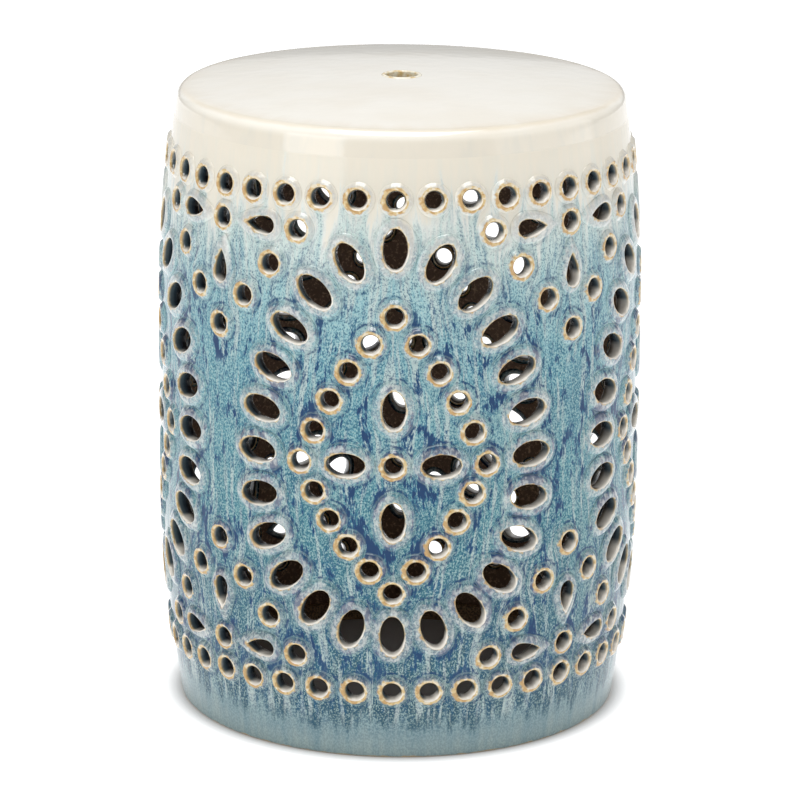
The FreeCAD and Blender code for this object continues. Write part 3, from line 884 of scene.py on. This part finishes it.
@dataclass(frozen=True)
class Seat:
    """The domed seat, the rim of its finger hole and the ring inside the foot."""

    line: BarrelLine
    thickness: float = 11.0
    opening: float = 14.5
    bore: float = 11.5
    top: float = 461.0
    shoulder_round: float = 8.4
    inner_round: float = 6.0
    rim_round: float = 1.2
    foot_opening: float = 145.6
    foot_height: float = 14.0
    foot_round: float = 2.0
    slip: float = 0.1
    rim_gap: float = 0.02
    skirt_heights: Point = (442.5, 438.5)
    rim_insets: Point = (4.0, 3.0)
    foot_heights: Point = (4.0, 9.0)
    inside_margin: float = 2.0
    dome_steps: int = 14
    ceiling_steps: int = 12
    rim_steps: int = 64
    foot_steps: int = 128
    corner_rounds: int = 20

    @property
    def dome(self) -> float:
        """Radius of the dome."""
        reach, rise = self.line.belly - self.line.shoulder_inset, self.line.crown - self.line.shoulder
        return (reach ** 2 + rise ** 2) / (2 * rise)

    def dome_point(self, radius: float, depth: float = 0.0) -> Point:
        """Point of the dome, or of its parallel at a depth."""
        return radius, self.line.crown - self.dome + math.sqrt((self.dome - depth) ** 2 - radius ** 2)

    def inner_corner(self) -> Point:
        """Where the ceiling meets the inside of the skirt.

        Returns:
            The corner of the half section.
        """
        height = self.line.shoulder
        for _ in range(self.corner_rounds):
            radius = self.line.radius(height, -self.line.wall)
            height = self.dome_point(radius, self.thickness)[1]
        return radius, height

    def seat(self) -> TurnedPiece:
        """The seat with its skirt.

        Returns:
            The piece, not yet spun.
        """
        wall, seam = self.line.wall, self.line.seam
        shoulder = (self.line.belly - self.line.shoulder_inset, self.line.shoulder)
        corner = self.inner_corner()
        middle = (0.0, self.line.crown - self.dome)
        section = arc(middle, self.dome, self.dome_point(self.opening), shoulder, self.dome_steps)
        section += [(self.line.radius(z), z) for z in (*self.skirt_heights, seam)]
        section += [(self.line.radius(seam, -wall), seam)]
        ceiling_end = self.dome_point(self.opening, self.thickness)
        section += arc(middle, self.dome - self.thickness, corner, ceiling_end, self.ceiling_steps)
        rounded = [(shoulder, self.shoulder_round), (corner, self.inner_round)]
        inside_below = self.line.shoulder - self.inside_margin
        return TurnedPiece("seat_glazed", "seat_top", Slot.SEAT, section, rounded, inside_below)

    def rim(self) -> TurnedPiece:
        """The lining of the finger hole.

        Returns:
            The piece, not yet spun.
        """
        bottom = self.line.crown - self.thickness
        outside = self.opening - self.rim_gap
        heights = (bottom, bottom + self.rim_insets[0], self.top - self.rim_insets[1], self.top)
        section = [(self.bore, z) for z in heights] + [(outside, z) for z in reversed(heights)]
        rounded = [((self.bore, self.top), self.rim_round), ((outside, self.top), self.rim_round)]
        steps = self.rim_steps
        return TurnedPiece("seat_hole_lining", "seat_hole_rim", Slot.RIM, section, rounded, 0.0, steps)

    def foot(self) -> TurnedPiece:
        """The ring of clay inside the foot.

        Returns:
            The piece, not yet spun.
        """
        heights = (0.0, *self.foot_heights, self.foot_height)
        seat = self.line.belly - self.line.foot_inset - self.line.wall - self.slip
        section = [(self.foot_opening, z) for z in reversed(heights)] + [(seat, z) for z in heights]
        rounded = [((self.foot_opening, 0.0), self.foot_round),
                   ((self.foot_opening, self.foot_height), self.foot_round)]
        steps = self.foot_steps
        return TurnedPiece("foot_ring_clay", "foot_ring", Slot.FOOT, section, rounded, 0.0, steps)


def clay(code: str) -> Colour:
    """Linear colour of a six-figure code of screen red, green and blue.

    Args:
        code: Two figures each of red, green and blue.

    Returns:
        The colour, opaque.
    """
    parts = [int(code[i:i + 2], 16) / 255 for i in (0, 2, 4)]
    linear = [part / 12.92 if part <= 0.04045 else ((part + 0.055) / 1.055) ** 2.4 for part in parts]
    return linear[0], linear[1], linear[2], 1.0


@dataclass(frozen=True)
class Spots:
    """Cloudy noise.

    Attributes:
        size: Size of its spots in millimetres.
        stretch: How many times taller they are than wide.
        detail: Number of finer layers.
        roughness: Strength of the finer layers.
        shift: Moves the pattern, so that two of one size differ.
    """

    size: float
    stretch: float = 1.0
    detail: float = 2.0
    roughness: float = 0.5
    shift: float = 0.0


@dataclass(frozen=True)
class Value:
    """A number, place or colour that a material's nodes work out at each point."""

    brush: "Brush"
    socket: NodeSocket

    def __add__(self, other: "Paint") -> "Value":
        """This number and another."""
        return self.brush.work("Math", self, other, operation="ADD")

    def __sub__(self, other: "Paint") -> "Value":
        """This number less another."""
        return self.brush.work("Math", self, other, operation="SUBTRACT")

    def __mul__(self, other: "Paint") -> "Value":
        """This number times another, as where two masks overlap."""
        return self.brush.work("Math", self, other, operation="MULTIPLY")

    def clamped(self) -> "Value":
        """This number, kept from 0 to 1."""
        return self.brush.work("Math", self, 0.0, operation="ADD", use_clamp=True)

    def band(self, low: float, high: float) -> "Value":
        """Smooth step from 0 at low to 1 at high, either of which may be the larger.

        Args:
            low: Number at which the step is 0.
            high: Number at which it is 1.

        Returns:
            The step.
        """
        falls = low > high
        numbers = (self, min(low, high), max(low, high), float(falls), float(not falls))
        return self.brush.work("MapRange", *numbers, interpolation_type="SMOOTHSTEP")

    def line(self, middle: float, width: float) -> "Value":
        """Soft line: 1 at the middle, 0 at the width to either side."""
        return self.brush.work("Math", self - middle, operation="ABSOLUTE").band(width, 0.0)

    def height(self) -> "Value":
        """The upward part of this place."""
        return self.brush.work("SeparateXYZ", self, output="Z")

    def length(self) -> "Value":
        """How far this place is from the object's origin."""
        return self.brush.work("VectorMath", self, operation="LENGTH", output="Value")

    def spots(self, noise: Spots) -> "Value":
        """Noise from 0 to 1 at this place.

        Args:
            noise: The noise's sizes.

        Returns:
            The noise.
        """
        size, shift = noise.size, noise.shift
        move = self.brush.node("Mapping")
        self.brush.put(move.inputs["Vector"], self)
        move.inputs["Location"].default_value = (shift, shift * 0.7, shift * 1.3)
        move.inputs["Scale"].default_value = (1 / size, 1 / size, 1 / (size * noise.stretch))
        made = self.brush.node("TexNoise")
        self.brush.put(made.inputs["Vector"], Value(self.brush, move.outputs[0]))
        made.inputs["Scale"].default_value = 1.0
        made.inputs["Detail"].default_value = noise.detail
        made.inputs["Roughness"].default_value = noise.roughness
        return Value(self.brush, made.outputs["Fac"])

    def under(self, over: "Paint", share: "Paint") -> "Value":
        """This colour with another laid over it."""
        return self.brush.mix(self, over, share)

    def scale_of(self, stops: dict[float, str]) -> "Value":
        """Colour by this number, through a scale of stops.

        Args:
            stops: Colour codes by number.

        Returns:
            The colour.
        """
        low, high = min(stops), max(stops)
        made = self.brush.node("ValToRGB")
        colours = made.color_ramp.elements
        while len(colours) < len(stops):
            colours.new(0.5)
        for element, (at, code) in zip(colours, sorted(stops.items())):
            element.position = (at - low) / (high - low)
            element.color = clay(code)
        self.brush.put(made.inputs[0], (self - low) * (1 / (high - low)))
        return Value(self.brush, made.outputs["Color"])


Paint = Value | float | str


class Brush:
    """Paints one material with shader nodes."""

    def __init__(self, name: str) -> None:
        """Start an empty material.

        Args:
            name: The material's name.
        """
        self.material = bpy.data.materials.new(name)
        self.material.use_nodes = True
        self.tree = self.material.node_tree
        self.tree.nodes.clear()

    def node(self, kind: str, **settings: object) -> Node:
        """Add a node of a kind, with its settings.

        Args:
            kind: Kind of node.
            settings: Its settings, by name.

        Returns:
            The node.
        """
        made = self.tree.nodes.new(f"ShaderNode{kind}")
        for name, value in settings.items():
            setattr(made, name, value)
        return made

    def put(self, socket: NodeSocket, value: Paint) -> None:
        """Feed a socket, or set it to a number or to the colour of a code.

        Args:
            socket: The socket.
            value: What it gets.
        """
        if isinstance(value, Value):
            self.tree.links.new(value.socket, socket)
        else:
            socket.default_value = clay(value) if isinstance(value, str) else value

    def work(self, kind: str, *values: Paint, output: int | str = 0, **settings: object) -> Value:
        """Add a node that works one thing out of its first inputs.

        Args:
            kind: Kind of node.
            values: What its inputs are fed, in order.
            output: Which of its outputs counts.
            settings: Its settings.

        Returns:
            What it works out.
        """
        made = self.node(kind, **settings)
        for socket, value in zip(made.inputs, values):
            self.put(socket, value)
        return Value(self, made.outputs[output])

    def attribute(self, name: str, output: str = "Fac") -> Value:
        """Read one of the mesh's own numbers."""
        return Value(self, self.node("Attribute", attribute_name=name).outputs[output])

    def run(self) -> Value:
        """Place that the glaze ran from, in millimetres."""
        return self.attribute("run", "Vector")

    def place(self) -> Value:
        """Object coordinates in millimetres.

        Returns:
            The place.
        """
        made = self.node("VectorMath", operation="SCALE")
        self.put(made.inputs[0], Value(self, self.node("TexCoord").outputs["Object"]))
        made.inputs["Scale"].default_value = 1 / MM
        return Value(self, made.outputs[0])

    def mix(self, under: Paint, over: Paint, share: Paint) -> Value:
        """Lay one colour over another.

        Args:
            under: The lower colour.
            over: The upper one.
            share: How far that covers.

        Returns:
            The mixed colour.
        """
        made = self.node("Mix", data_type="RGBA")
        for number, value in ((0, share), (6, under), (7, over)):
            self.put(made.inputs[number], value)
        return Value(self, made.outputs[2])

    def fire(
        self, colour: Paint, roughness: Paint, bump: Paint, depth: float, coat: float,
        glow: Paint = 0.0, gloss: float = 1.5,
    ) -> Material:
        """Finish the material.

        Args:
            colour: Its colour.
            roughness: Its roughness.
            bump: Height of its surface, from 0 to 1.
            depth: What a bump of 1 stands for, in millimetres.
            coat: Strength of the clear gloss over it.
            glow: Light that it gives of itself.
            gloss: Its index of refraction.

        Returns:
            The material.
        """
        raise_up = self.node("Bump")
        raise_up.inputs["Strength"].default_value = 1.0
        raise_up.inputs["Distance"].default_value = depth * MM
        self.put(raise_up.inputs["Height"], bump)
        normal = Value(self, raise_up.outputs[0])
        surface = self.node("BsdfPrincipled")
        for name, value in (
            ("Base Color", colour), ("Roughness", roughness), ("IOR", gloss), ("Coat Weight", coat),
            ("Coat Roughness", 0.06), ("Emission Color", "FFFFFF"), ("Emission Strength", glow),
            ("Normal", normal), ("Coat Normal", normal),
        ):
            self.put(surface.inputs[name], value)
        self.tree.links.new(surface.outputs[0], self.node("OutputMaterial").inputs[0])
        return self.material


@dataclass(frozen=True)
class StreakedGlaze:
    """The blue glaze that runs down the barrel over a pale one, with painted shade that darkens it towards
    the foot.

    A pair of numbers that is a band says where a soft step starts and where it is full, as heights
    or as distances from the foot of a collar's skirt. One that is a line says its middle and width.
    """

    # Colour by height: partly the glaze's own blue below and pale above, partly painted shade that darkens
    # the lower wall towards the foot
    heights: dict[float, str] = field(default_factory=lambda: {
        0.0: "839494", 22.0: "6C858C", 31.0: "2B4F5E", 44.0: "204654", 90.0: "2A5F6F",
        180.0: "47848F", 290.0: "6299A6", 330.0: "8FB9C0", 352.0: "A9C3C5", 372.0: "C5D4CF",
        390.0: "D5D8D2", 405.0: "D9D5C8", 440.0: "DDD6C7",
    })
    light: str = "A6BFBC"
    dark: str = "174C68"
    pale: str = "C0C9C5"
    blue: str = "10537A"
    navy: str = "00345F"
    bare: str = "A8977A"
    drip: Spots = Spots(7.0, 10.0, 3.0, 0.55)
    drip_fall: float = 130.0
    fine: Spots = Spots(2.4, 4.0, 2.0, 0.5, 3.0)
    fine_fall: float = 30.0
    mean_fall: float = 80.0
    cloud: Spots = Spots(42.0, 1.8, 3.0, 0.6, 7.0)
    streak: Spots = Spots(5.0, 12.0, 3.0, 0.55, 17.0)
    clot: Spots = Spots(4.0, 5.0, 3.0, 0.6, 23.0)
    grain: Spots = Spots(1.3, 1.2, 2.0, 0.7, 11.0)
    patch: Spots = Spots(10.0, 2.0, 2.0, 0.5, 31.0)
    dash: Spots = Spots(1.6, 3.5, 3.0, 0.65, 37.0)
    broken: Spots = Spots(5.0, 1.0, 2.0, 0.6, 41.0)
    runs_free: Band = (10.0, 80.0)
    over_foot: Band = (10.0, 40.0)
    grain_over_foot: Band = (12.0, 45.0)
    under_seat: Band = (405.0, 350.0)
    by_collars: Band = (20.0, 6.0)
    navy_over_foot: Band = (25.0, 90.0)
    navy_under_seat: Band = (370.0, 300.0)
    navy_by_collars: Band = (24.0, 9.0)
    lines_over_foot: Band = (15.0, 50.0)
    lines_under_seat: Band = (400.0, 330.0)
    pale_line: Band = (1.1, 1.0)
    dark_line: Band = (2.9, 1.7)
    bare_edge: Band = (3.6, 2.8)

    def colour(self, brush: Brush) -> Value:
        """Colour of the glaze at each point of the wall.

        Args:
            brush: The material's brush.

        Returns:
            The colour.
        """
        run = brush.run()
        height = run.height()
        slide = run.spots(self.drip) * self.drip_fall + run.spots(self.fine) * self.fine_fall
        slide = slide - self.mean_fall
        fallen = height + slide * (height.band(*self.runs_free) * 0.55 + 0.45)
        glazed = fallen.band(*self.under_seat)
        body = height.band(*self.over_foot) * glazed
        close = body * (brush.attribute("skirt").band(*self.by_collars) * 0.8 + 0.2)
        grained = (height.band(*self.grain_over_foot) * 0.75 + 0.25) * glazed
        cloud, grain = run.spots(self.cloud), run.spots(self.grain)
        streak, clot = run.spots(self.streak), run.spots(self.clot)
        colour = fallen.scale_of(self.heights)
        for code, mask in (
            (self.dark, body * cloud.band(0.49, 0.37) * 0.25),
            (self.light, body * cloud.band(0.53, 0.65) * 0.2),
            (self.pale, close * streak.band(0.53, 0.61) * 0.7),
            (self.blue, close * clot.band(0.53, 0.63) * 0.5),
            (self.light, grained * grain.band(0.51, 0.59) * 0.65),
            (self.dark, grained * grain.band(0.49, 0.41) * 0.7),
        ):
            colour = colour.under(code, mask)
        return self.halo(brush, self.navy_streaks(brush, colour, run), run)

    def navy_streaks(self, brush: Brush, colour: Value, run: Value) -> Value:
        """Clusters of short dark streaks, thickest where the glaze pools.

        Args:
            brush: The material's brush.
            colour: Colour under the streaks.
            run: Place that the glaze ran from.

        Returns:
            The colour with its streaks.
        """
        height = run.height()
        deep = height.band(*self.navy_over_foot) * height.band(*self.navy_under_seat)
        deep = deep * brush.attribute("skirt").band(*self.navy_by_collars)
        wet = run.spots(self.patch) + brush.attribute("pool") * 0.25
        reach = run.spots(self.dash) + (wet - 0.56) * 1.5
        colour = colour.under(self.blue, reach.band(0.54, 0.62) * deep * 0.9)
        return colour.under(self.navy, reach.band(0.62, 0.655) * deep)

    def halo(self, brush: Brush, colour: Value, run: Value) -> Value:
        """Fine pale and dark lines round the foot of every collar, and the bare line at the floor.

        Args:
            brush: The material's brush.
            colour: Colour under the lines.
            run: Place that the glaze ran from.

        Returns:
            The colour with its lines.
        """
        height = run.height()
        deep = height.band(*self.lines_over_foot) * height.band(*self.lines_under_seat)
        side = brush.attribute("right") * 0.6 + brush.attribute("above") * 0.5
        strong = side.band(-0.9, 0.4) * run.spots(self.broken).band(0.4, 0.6)
        wander = brush.attribute("skirt") + run.spots(Spots(4.0, shift=43.0)) * 1.6
        colour = colour.under(self.light, wander.line(*self.pale_line) * deep * 0.3)
        colour = colour.under(self.navy, wander.line(*self.dark_line) * deep * strong * 0.95)
        edge = height + run.spots(Spots(9.0)) * 4.0
        return colour.under(self.bare, edge.band(*self.bare_edge))


@dataclass(frozen=True)
class BarrelFinish:
    """Glaze of the wall."""

    glaze: StreakedGlaze = StreakedGlaze()
    gloss: float = 1.36

    def material(self) -> Material:
        """Paint the wall's material.

        Returns:
            The material.
        """
        brush = Brush("barrel_glaze")
        run = brush.run()
        ripple = run.spots(Spots(7.0, 2.5, 2.0, 0.5, 5.0))
        roughness = run.spots(Spots(1.3)) * 0.1 + 0.06
        colour = self.glaze.colour(brush)
        return brush.fire(colour, roughness, bump=ripple, depth=0.3, coat=0.0, gloss=self.gloss)


@dataclass(frozen=True)
class CollarFinish:
    """Glaze of the collars: pale over the ring, ochre where it thins at the lip, with a painted highlight on
    the lip and painted shade and highlight inside the hole.

    Attributes:
        name: The material's name.
        crest: Least share of the pale glaze over the ring.
        ochre_reach: How far out the ochre comes, least and most, as a share of the ring and skirt.
        ochre_share: How fully the ochre covers.
    """

    name: str
    crest: float
    ochre_reach: Band
    ochre_share: float
    lilac: str = "9F9F9F"
    white: str = "C9CAC6"
    ochre: str = "CDB27A"
    amber: str = "B2843C"
    cream: str = "DDD2BA"
    # Colour of the painted highlight: a white crescent on the lip
    painted_highlight_white: str = "F2EEE6"
    # How far out from the hole's edge the painted highlight reaches, as a share of the ring and skirt
    painted_shine: float = 0.2
    under_seat: Band = (260.0, 380.0)
    inner_rise: Band = (2.8, 1.9)
    glaze: StreakedGlaze = StreakedGlaze()

    def material(self) -> Material:
        """Paint the collars' material.

        Returns:
            The material.
        """
        brush = Brush(self.name)
        place = brush.place()
        names = ("share", "rise", "above", "right", "luck")
        share, rise, up, right, luck = (brush.attribute(name) for name in names)
        wobble = place.spots(Spots(4.0, shift=2.0)) * 0.8 - 0.4
        across = share + wobble
        blotch = place.spots(Spots(3.2, 1.3, 3.0, 0.6, 4.0))
        pale = brush.mix(self.lilac, self.white, blotch.band(0.48, 0.62))
        ring = across.band(0.0, 0.25) * across.band(1.0, 0.55) * (blotch.band(0.4, 0.6) * 0.45 + self.crest)
        ring = ring * (place.height().band(*self.under_seat) * 0.25 + 0.75)
        colour = self.glaze.colour(brush).under(pale, ring)
        side = right * -0.5 + up * -0.5
        spot = side * 0.13 + place.spots(Spots(3.4, detail=1.0, shift=9.0))
        ochre = brush.mix(self.ochre, self.amber, spot.band(0.5, 0.62) * 0.8)
        ochre = ochre.under(self.cream, spot.band(0.46, 0.36) * 0.8)
        least, most = self.ochre_reach
        reach = (luck * 0.4 + side * 0.5 + 0.4).clamped() * (most - least) + least
        colour = colour.under(ochre, (across - reach).band(0.12, -0.08) * self.ochre_share)
        lit = right * 0.4 + up * -0.9
        even = share + wobble * 0.25
        # Painted highlight: a white crescent near the hole's edge, on the side that faces the light
        painted_shine = lit.band(0.2, 0.8) * even.band(self.painted_shine, self.painted_shine - 0.1) * 0.9
        colour = colour.under(self.painted_highlight_white, painted_shine)
        # Painted shade and highlight inside the hole, in place of the light that reaches it
        painted_hole_mask = share.band(0.14, 0.04) * rise.band(*self.inner_rise)
        colour = colour.under(self.painted_hole_light(rise, lit), painted_hole_mask)
        bump = place.spots(Spots(4.0, shift=6.0))
        return brush.fire(colour, roughness=0.08, bump=bump, depth=0.2, coat=0.5)

    @staticmethod
    def painted_hole_light(rise: Value, lit: Value) -> Value:
        """Painted light inside the hole, by depth: a painted highlight along its lower wall, painted shade
        up its sides and deep inside.

        Args:
            rise: Height over the wall.
            lit: How squarely a side faces the light.

        Returns:
            The colour.
        """
        # Painted shade: dark up the hole's sides, darkest deep inside
        side = rise.scale_of({-8.0: "1E1A18", -5.0: "1F252B", -2.0: "2C3A44", 0.8: "4E5C62", 2.2: "A08A5C"})
        # Painted highlight: bright along the hole's lower wall, on the side that faces the light
        floor = rise.scale_of({-8.0: "5C5044", -5.5: "A89F92", -3.0: "E6E1D8", 2.0: "F4EEE2"})
        return side.under(floor, lit.band(0.35, 0.9))


@dataclass(frozen=True)
class SeatFinish:
    """Ivory glaze of the seat, which breaks to beige along the shoulder."""

    ivory: str = "F4F0E6"
    warm: str = "F0EADD"
    skirt: str = "DDD6C7"
    grey: str = "D8D3C6"
    beige: str = "DCC9A8"
    over_skirt: Band = (444.0, 452.0)
    break_line: Band = (453.4, 2.2)

    def material(self) -> Material:
        """Paint the seat's material.

        Returns:
            The material.
        """
        brush = Brush("seat_glaze")
        place, run = brush.place(), brush.run()
        height = place.height()
        top = brush.mix(self.ivory, self.warm, place.spots(Spots(70.0)).band(0.4, 0.7))
        side = brush.mix(self.skirt, self.grey, run.spots(Spots(16.0, 3.0, 3.0, 0.55)).band(0.45, 0.65))
        colour = side.under(top, height.band(*self.over_skirt))
        wander = height + run.spots(Spots(14.0)) * 2.0
        colour = colour.under(self.beige, wander.line(*self.break_line) * 0.35)
        ripple = place.spots(Spots(11.0, roughness=0.4))
        return brush.fire(colour, roughness=0.13, bump=ripple, depth=0.12, coat=0.5)


@dataclass(frozen=True)
class PlainFinish:
    """Mottled glaze or bare clay, with another colour over a soft step of heights."""

    name: str
    under: str
    over: str
    mottle: Spots
    mottle_band: Band
    roughness: float
    depth: float
    coat: float
    edge: str = ""
    edge_band: Band = (0.0, 0.0)

    def material(self) -> Material:
        """Paint the material.

        Returns:
            The material.
        """
        brush = Brush(self.name)
        place = brush.place()
        mottle = place.spots(self.mottle)
        colour = brush.mix(self.under, self.over, mottle.band(*self.mottle_band))
        if self.edge:
            colour = colour.under(self.edge, place.height().band(*self.edge_band))
        return brush.fire(colour, self.roughness, mottle, self.depth, self.coat)


INSIDE_FINISH = PlainFinish(
    "inside_glaze", under="6E5038", over="BE9E7C", mottle=Spots(2.2, detail=3.0, roughness=0.6),
    mottle_band=(0.5, 0.72), roughness=0.45, depth=0.2, coat=0.0,
)
RIM_FINISH = PlainFinish(
    "rim_glaze", under="F6F0DC", over="DDC084", mottle=Spots(5.0), mottle_band=(0.4, 0.65),
    roughness=0.15, depth=0.1, coat=0.6, edge="6A4C30", edge_band=(453.5, 448.0),
)
FOOT_FINISH = PlainFinish(
    "foot_clay", under="6E5640", over="A98C68", mottle=Spots(1.6, detail=3.0, roughness=0.6),
    mottle_band=(0.42, 0.6), roughness=0.7, depth=0.3, coat=0.0, edge="A98C68", edge_band=(3.0, 0.5),
)


@dataclass(frozen=True)
class Softbox:
    """One soft studio light, aimed at the stool."""

    name: str
    around: float
    lift: float
    distance: float
    width: float
    height: float
    power: float
    aim: float = 0.23

    def build(self) -> None:
        """Hang the light and aim it."""
        light = bpy.data.lights.new(self.name, "AREA")
        light.shape = "RECTANGLE"
        light.size, light.size_y, light.energy = self.width, self.height, self.power
        lamp = add_object(self.name, light)
        around, lift = math.radians(self.around), math.radians(self.lift)
        level = self.distance * math.cos(lift)
        spot = Vector((level * math.sin(around), -level * math.cos(around), self.distance * math.sin(lift)))
        lamp.location = spot + Vector((0.0, 0.0, self.aim))
        lamp.rotation_euler = spot.to_track_quat("Z", "Y").to_euler()
        lamp.visible_camera = False


@dataclass(frozen=True)
class Studio:
    """White floor, soft lights and the camera."""

    lights: tuple[Softbox, ...] = (
        Softbox("left_softbox", -41.0, 14.0, 1.7, 0.9, 1.1, 6.6),
        Softbox("right_softbox", 78.0, 12.0, 2.0, 2.4, 1.4, 8.5),
        Softbox("overhead_softbox", -10.0, 80.0, 2.0, 1.3, 1.3, 27.0),
        Softbox("rear_softbox", 180.0, 16.0, 2.6, 3.4, 1.0, 3.5, 0.45),
    )
    sky: float = 0.35
    floor_size: float = 30.0
    floor_grey: str = "C8C8C8"
    floor_glow: float = 0.92
    glow_from: Band = (152.0, 180.0)
    lens: float = 185.73
    sensor: float = 36.0
    distance: float = 3.01875
    rise: float = 0.27565
    around: float = 0.019307
    roll: float = 0.008545
    aim: float = 0.2184
    shift: float = 0.00134

    def build(self) -> None:
        """Set up everything round the stool."""
        for light in self.lights:
            light.build()
        self.lay_floor()
        self.light_sky()
        self.point_camera()

    def lay_floor(self) -> None:
        """Pale floor, wide enough to be the background too."""
        bm = bmesh.new()
        bmesh.ops.create_grid(bm, x_segments=1, y_segments=1, size=self.floor_size / 2)
        floor = add_object("floor", mesh_of(bm, "floor"))
        brush = Brush("floor_paint")
        glow = brush.place().length().band(*self.glow_from) * self.floor_glow
        paint = brush.fire(self.floor_grey, roughness=0.9, bump=0.5, depth=0.0, coat=0.0, glow=glow)
        floor.data.materials.append(paint)

    def light_sky(self) -> None:
        """Even white light from all round."""
        world = bpy.data.worlds.new("studio")
        world.use_nodes = True
        background = world.node_tree.nodes["Background"]
        background.inputs["Color"].default_value = (1.0, 1.0, 1.0, 1.0)
        background.inputs["Strength"].default_value = self.sky
        bpy.context.scene.world = world
        bpy.context.scene.view_settings.view_transform = "Standard"

    def point_camera(self) -> None:
        """Camera where the photograph was taken from."""
        data = bpy.data.cameras.new("camera")
        data.lens, data.sensor_width, data.shift_x = self.lens, self.sensor, self.shift
        level = math.cos(self.rise)
        offset = Vector((level * math.sin(self.around), -level * math.cos(self.around), math.sin(self.rise)))
        right = Vector((0.0, 0.0, 1.0)).cross(offset).normalized()
        up = offset.cross(right)
        turned_up = up * math.cos(self.roll) - right * math.sin(self.roll)
        turned_right = right * math.cos(self.roll) + up * math.sin(self.roll)
        turn = Matrix((turned_right, turned_up, offset)).transposed().to_4x4()
        camera = add_object("camera", data)
        camera.matrix_world = Matrix.Translation(offset * self.distance + Vector((0, 0, self.aim))) @ turn
        bpy.context.scene.camera = camera


def read_places(node: str, line: BarrelLine) -> list[CollarPlace]:
    """Read the place of every collar in a node of the construction model."""
    shape = shape_of(node)
    return [read_place(solid, shape, line) for solid in solids_of(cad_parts[node].data)]


def collar_nodes() -> list[str]:
    """Names of the construction model's collar nodes."""
    return sorted(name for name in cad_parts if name.endswith(("_collars", "_collar")))


def main() -> None:
    """Build every piece, dress it and set up the studio."""
    logging.basicConfig(level=logging.INFO, format="%(name)s: %(message)s")
    line = BarrelLine()
    places = {node: read_places(node, line) for node in collar_nodes()}
    every = [place for group in places.values() for place in group]
    log.info("read %d collars in %d nodes", len(every), len(places))
    flow = GlazeFlow(line, every)
    glaze, inside = BarrelFinish().material(), INSIDE_FINISH.material()
    rounds = CollarFinish("round_collar_glaze", crest=0.2, ochre_reach=(0.26, 0.62), ochre_share=0.92)
    ovals = CollarFinish("oval_collar_glaze", crest=0.35, ochre_reach=(0.03, 0.2), ochre_share=0.85)
    skins = {Slot.ROUND_COLLAR: rounds.material(), Slot.OVAL_COLLAR: ovals.material()}
    wall = BarrelWall(line, flow, every).build(glaze, inside)
    log.info("%s: %d faces", wall.name, len(wall.data.polygons))
    for node, group in places.items():
        slot = Slot.ROUND_COLLAR if group[0].shape is HoleShape.ROUND else Slot.OVAL_COLLAR
        rings = Collars(node, line, flow, group).build(skins[slot], slot)
        log.info("%s: %d collars", rings.name, len(group))
    seat = Seat(line)
    turned_pieces = ((seat.seat(), SeatFinish()), (seat.rim(), RIM_FINISH), (seat.foot(), FOOT_FINISH))
    for turned, finish in turned_pieces:
        piece = turned.build(line, finish.material(), inside)
        log.info("%s: %d faces", piece.name, len(piece.data.polygons))
    Studio().build()


if __name__ == "__main__":
    main()
